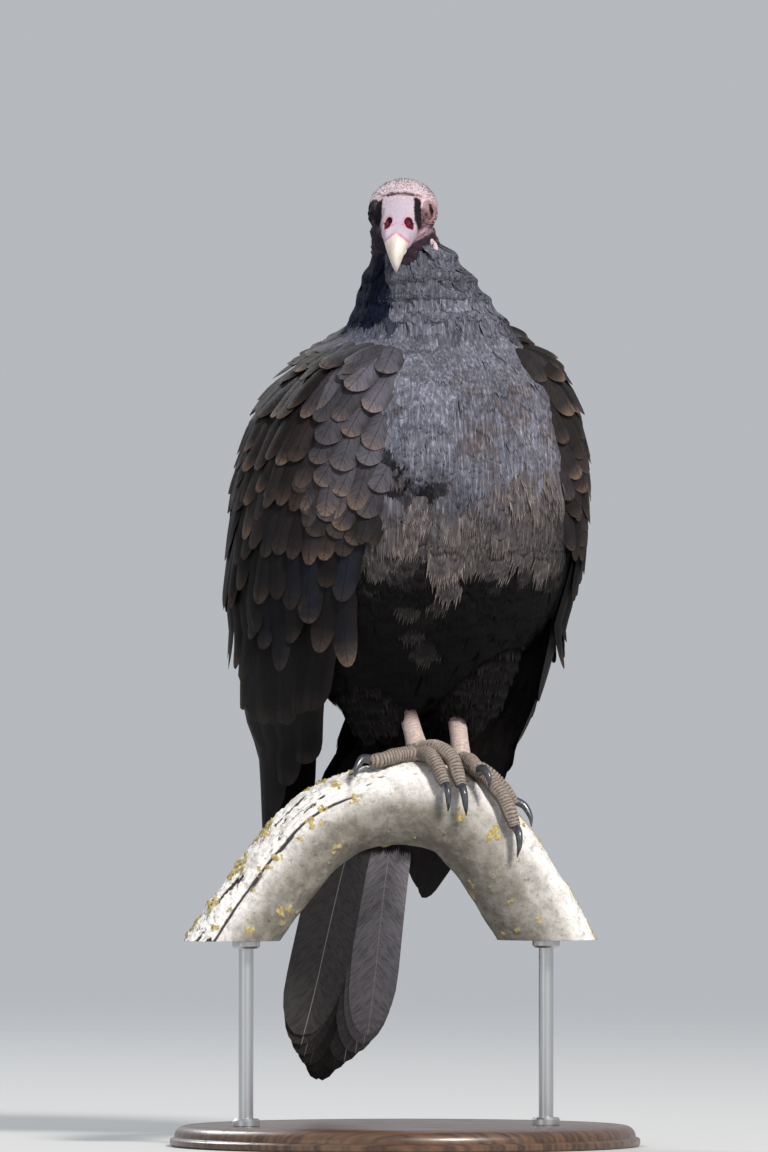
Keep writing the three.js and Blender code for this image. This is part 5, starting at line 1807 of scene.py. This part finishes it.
rectrix = downy("rectrix_vane", 0.55, 0.13, -0.75, 1.0)
coat.made("tail_feathers", rectrix, "tail_feather", "tail")

coat = Plumage()
for front in (1, -1):
    for number, down in enumerate(COVERT_ROWS):
        half = (24 + 0.12 * down) * MM
        a = np.linspace(-half, half, COVERTS_ABREAST) + (number % 2) * 3 * MM
        a = a + chance.normal(0, 1.2 * MM, len(a))
        bottom = (down - 14) * MM
        tones = np.array(SOOT) * np.exp(chance.normal(0, 0.2, (len(a), 1)))
        coat.lay(tail_place(front), TAIL_LIE_STEPS, soft_form, a, np.full(len(a), -bottom),
                 np.column_stack([a * front + front * 0.05, np.full(len(a), bottom)]), tones,
                 FLIGHT_RIM, 0.15, heading=a / half * 0.10 + chance.normal(0, 0.08, len(a)),
                 length=44 * MM, width=17 * MM, depth=-(11 - 0.10 * down) * MM, rise=0.6,
                 lift=5.0 * MM, ruffle=0.8 * MM)
coat.made("coat_tail", plume, "plumage")


# ------------------------------------------------------------------ stubble
# Sparse black bristles stand in the bare skin of the crown, the nape, the cheeks and the throat.
# Each is a short stiff three-sided spike, rooted just under the skin and leaning back.
BRISTLES = 2600
BRISTLE_RADIUS = 0.13 * MM
BRISTLE_ROOT = 0.2 * MM
BRISTLE_BLACK = (0.012, 0.009, 0.011, 1)

places = corners_of(skin)
forward, out, up = in_head(places)
facing = normals_of(skin)
on_crown = ease(up, 4, 9) * ease(-forward, -9, -4)
on_cheek = ease(-up, 8, 12) * ease(np.abs(out), 7, 12) * ease(-forward, -22, -16)
on_throat = ease(-up, 15, 18) * ease(-forward, -26, -18)
from_eye = np.hypot(forward - EYE_AT[0], up - EYE_AT[2])
likely = np.clip(0.75 * on_crown + on_cheek + on_throat + 0.5 * ease(-forward, 6, 16), 0, 1)
thicker = 0.3 + 0.7 * ease(clouds(places, 160, 2, 61), -0.3, 0.3)
likely *= is_head * ease(from_eye, 8, 10) * thicker
picked = chance.choice(len(places), BRISTLES, replace=False, p=likely / likely.sum())
root, way = places[picked], facing[picked]
back = np.array(HEAD_TURN) @ np.array((0, 1, -0.5))
lean = unit(way + back * 0.7 + chance.normal(0, 0.15, (BRISTLES, 3)))
across = unit(np.cross(lean, (0, 0, 1)) + 1e-6)
over = np.cross(across, lean)
length = (0.9 + 1.1 * chance.random((BRISTLES, 1))) * MM
turn = np.arange(3) * 2 * pi / 3
foot = root[:, None] - way[:, None] * BRISTLE_ROOT + BRISTLE_RADIUS * spokes(turn, across, over)
points = np.concatenate([foot, (root + lean * length)[:, None]], axis=1).reshape(-1, 3)
faces = np.array(((0, 1, 3), (1, 2, 3), (2, 0, 3), (0, 2, 1)))
faces = (faces[None] + 4 * np.arange(BRISTLES)[:, None, None]).reshape(-1, 3)
stubble = piece_of("coat_stubble", points, faces)
spread = np.column_stack([np.arctan2(out[picked], up[picked] + 3), forward[picked]])
spread = (spread - spread.min(axis=0)) / (spread.max(axis=0) - spread.min(axis=0)) * (1 - PATCH)
patch = spread[:, None] + PATCH * np.array(((0, 0), (1, 0), (0.5, 0.6), (0.5, 1)))[None]
add_map(stubble, "OFBake", patch.reshape(-1, 2))
bristle = Finish("black_bristle", {"Base Color": BRISTLE_BLACK, "Roughness": 0.5})
dressed(stubble, bristle, "plumage")
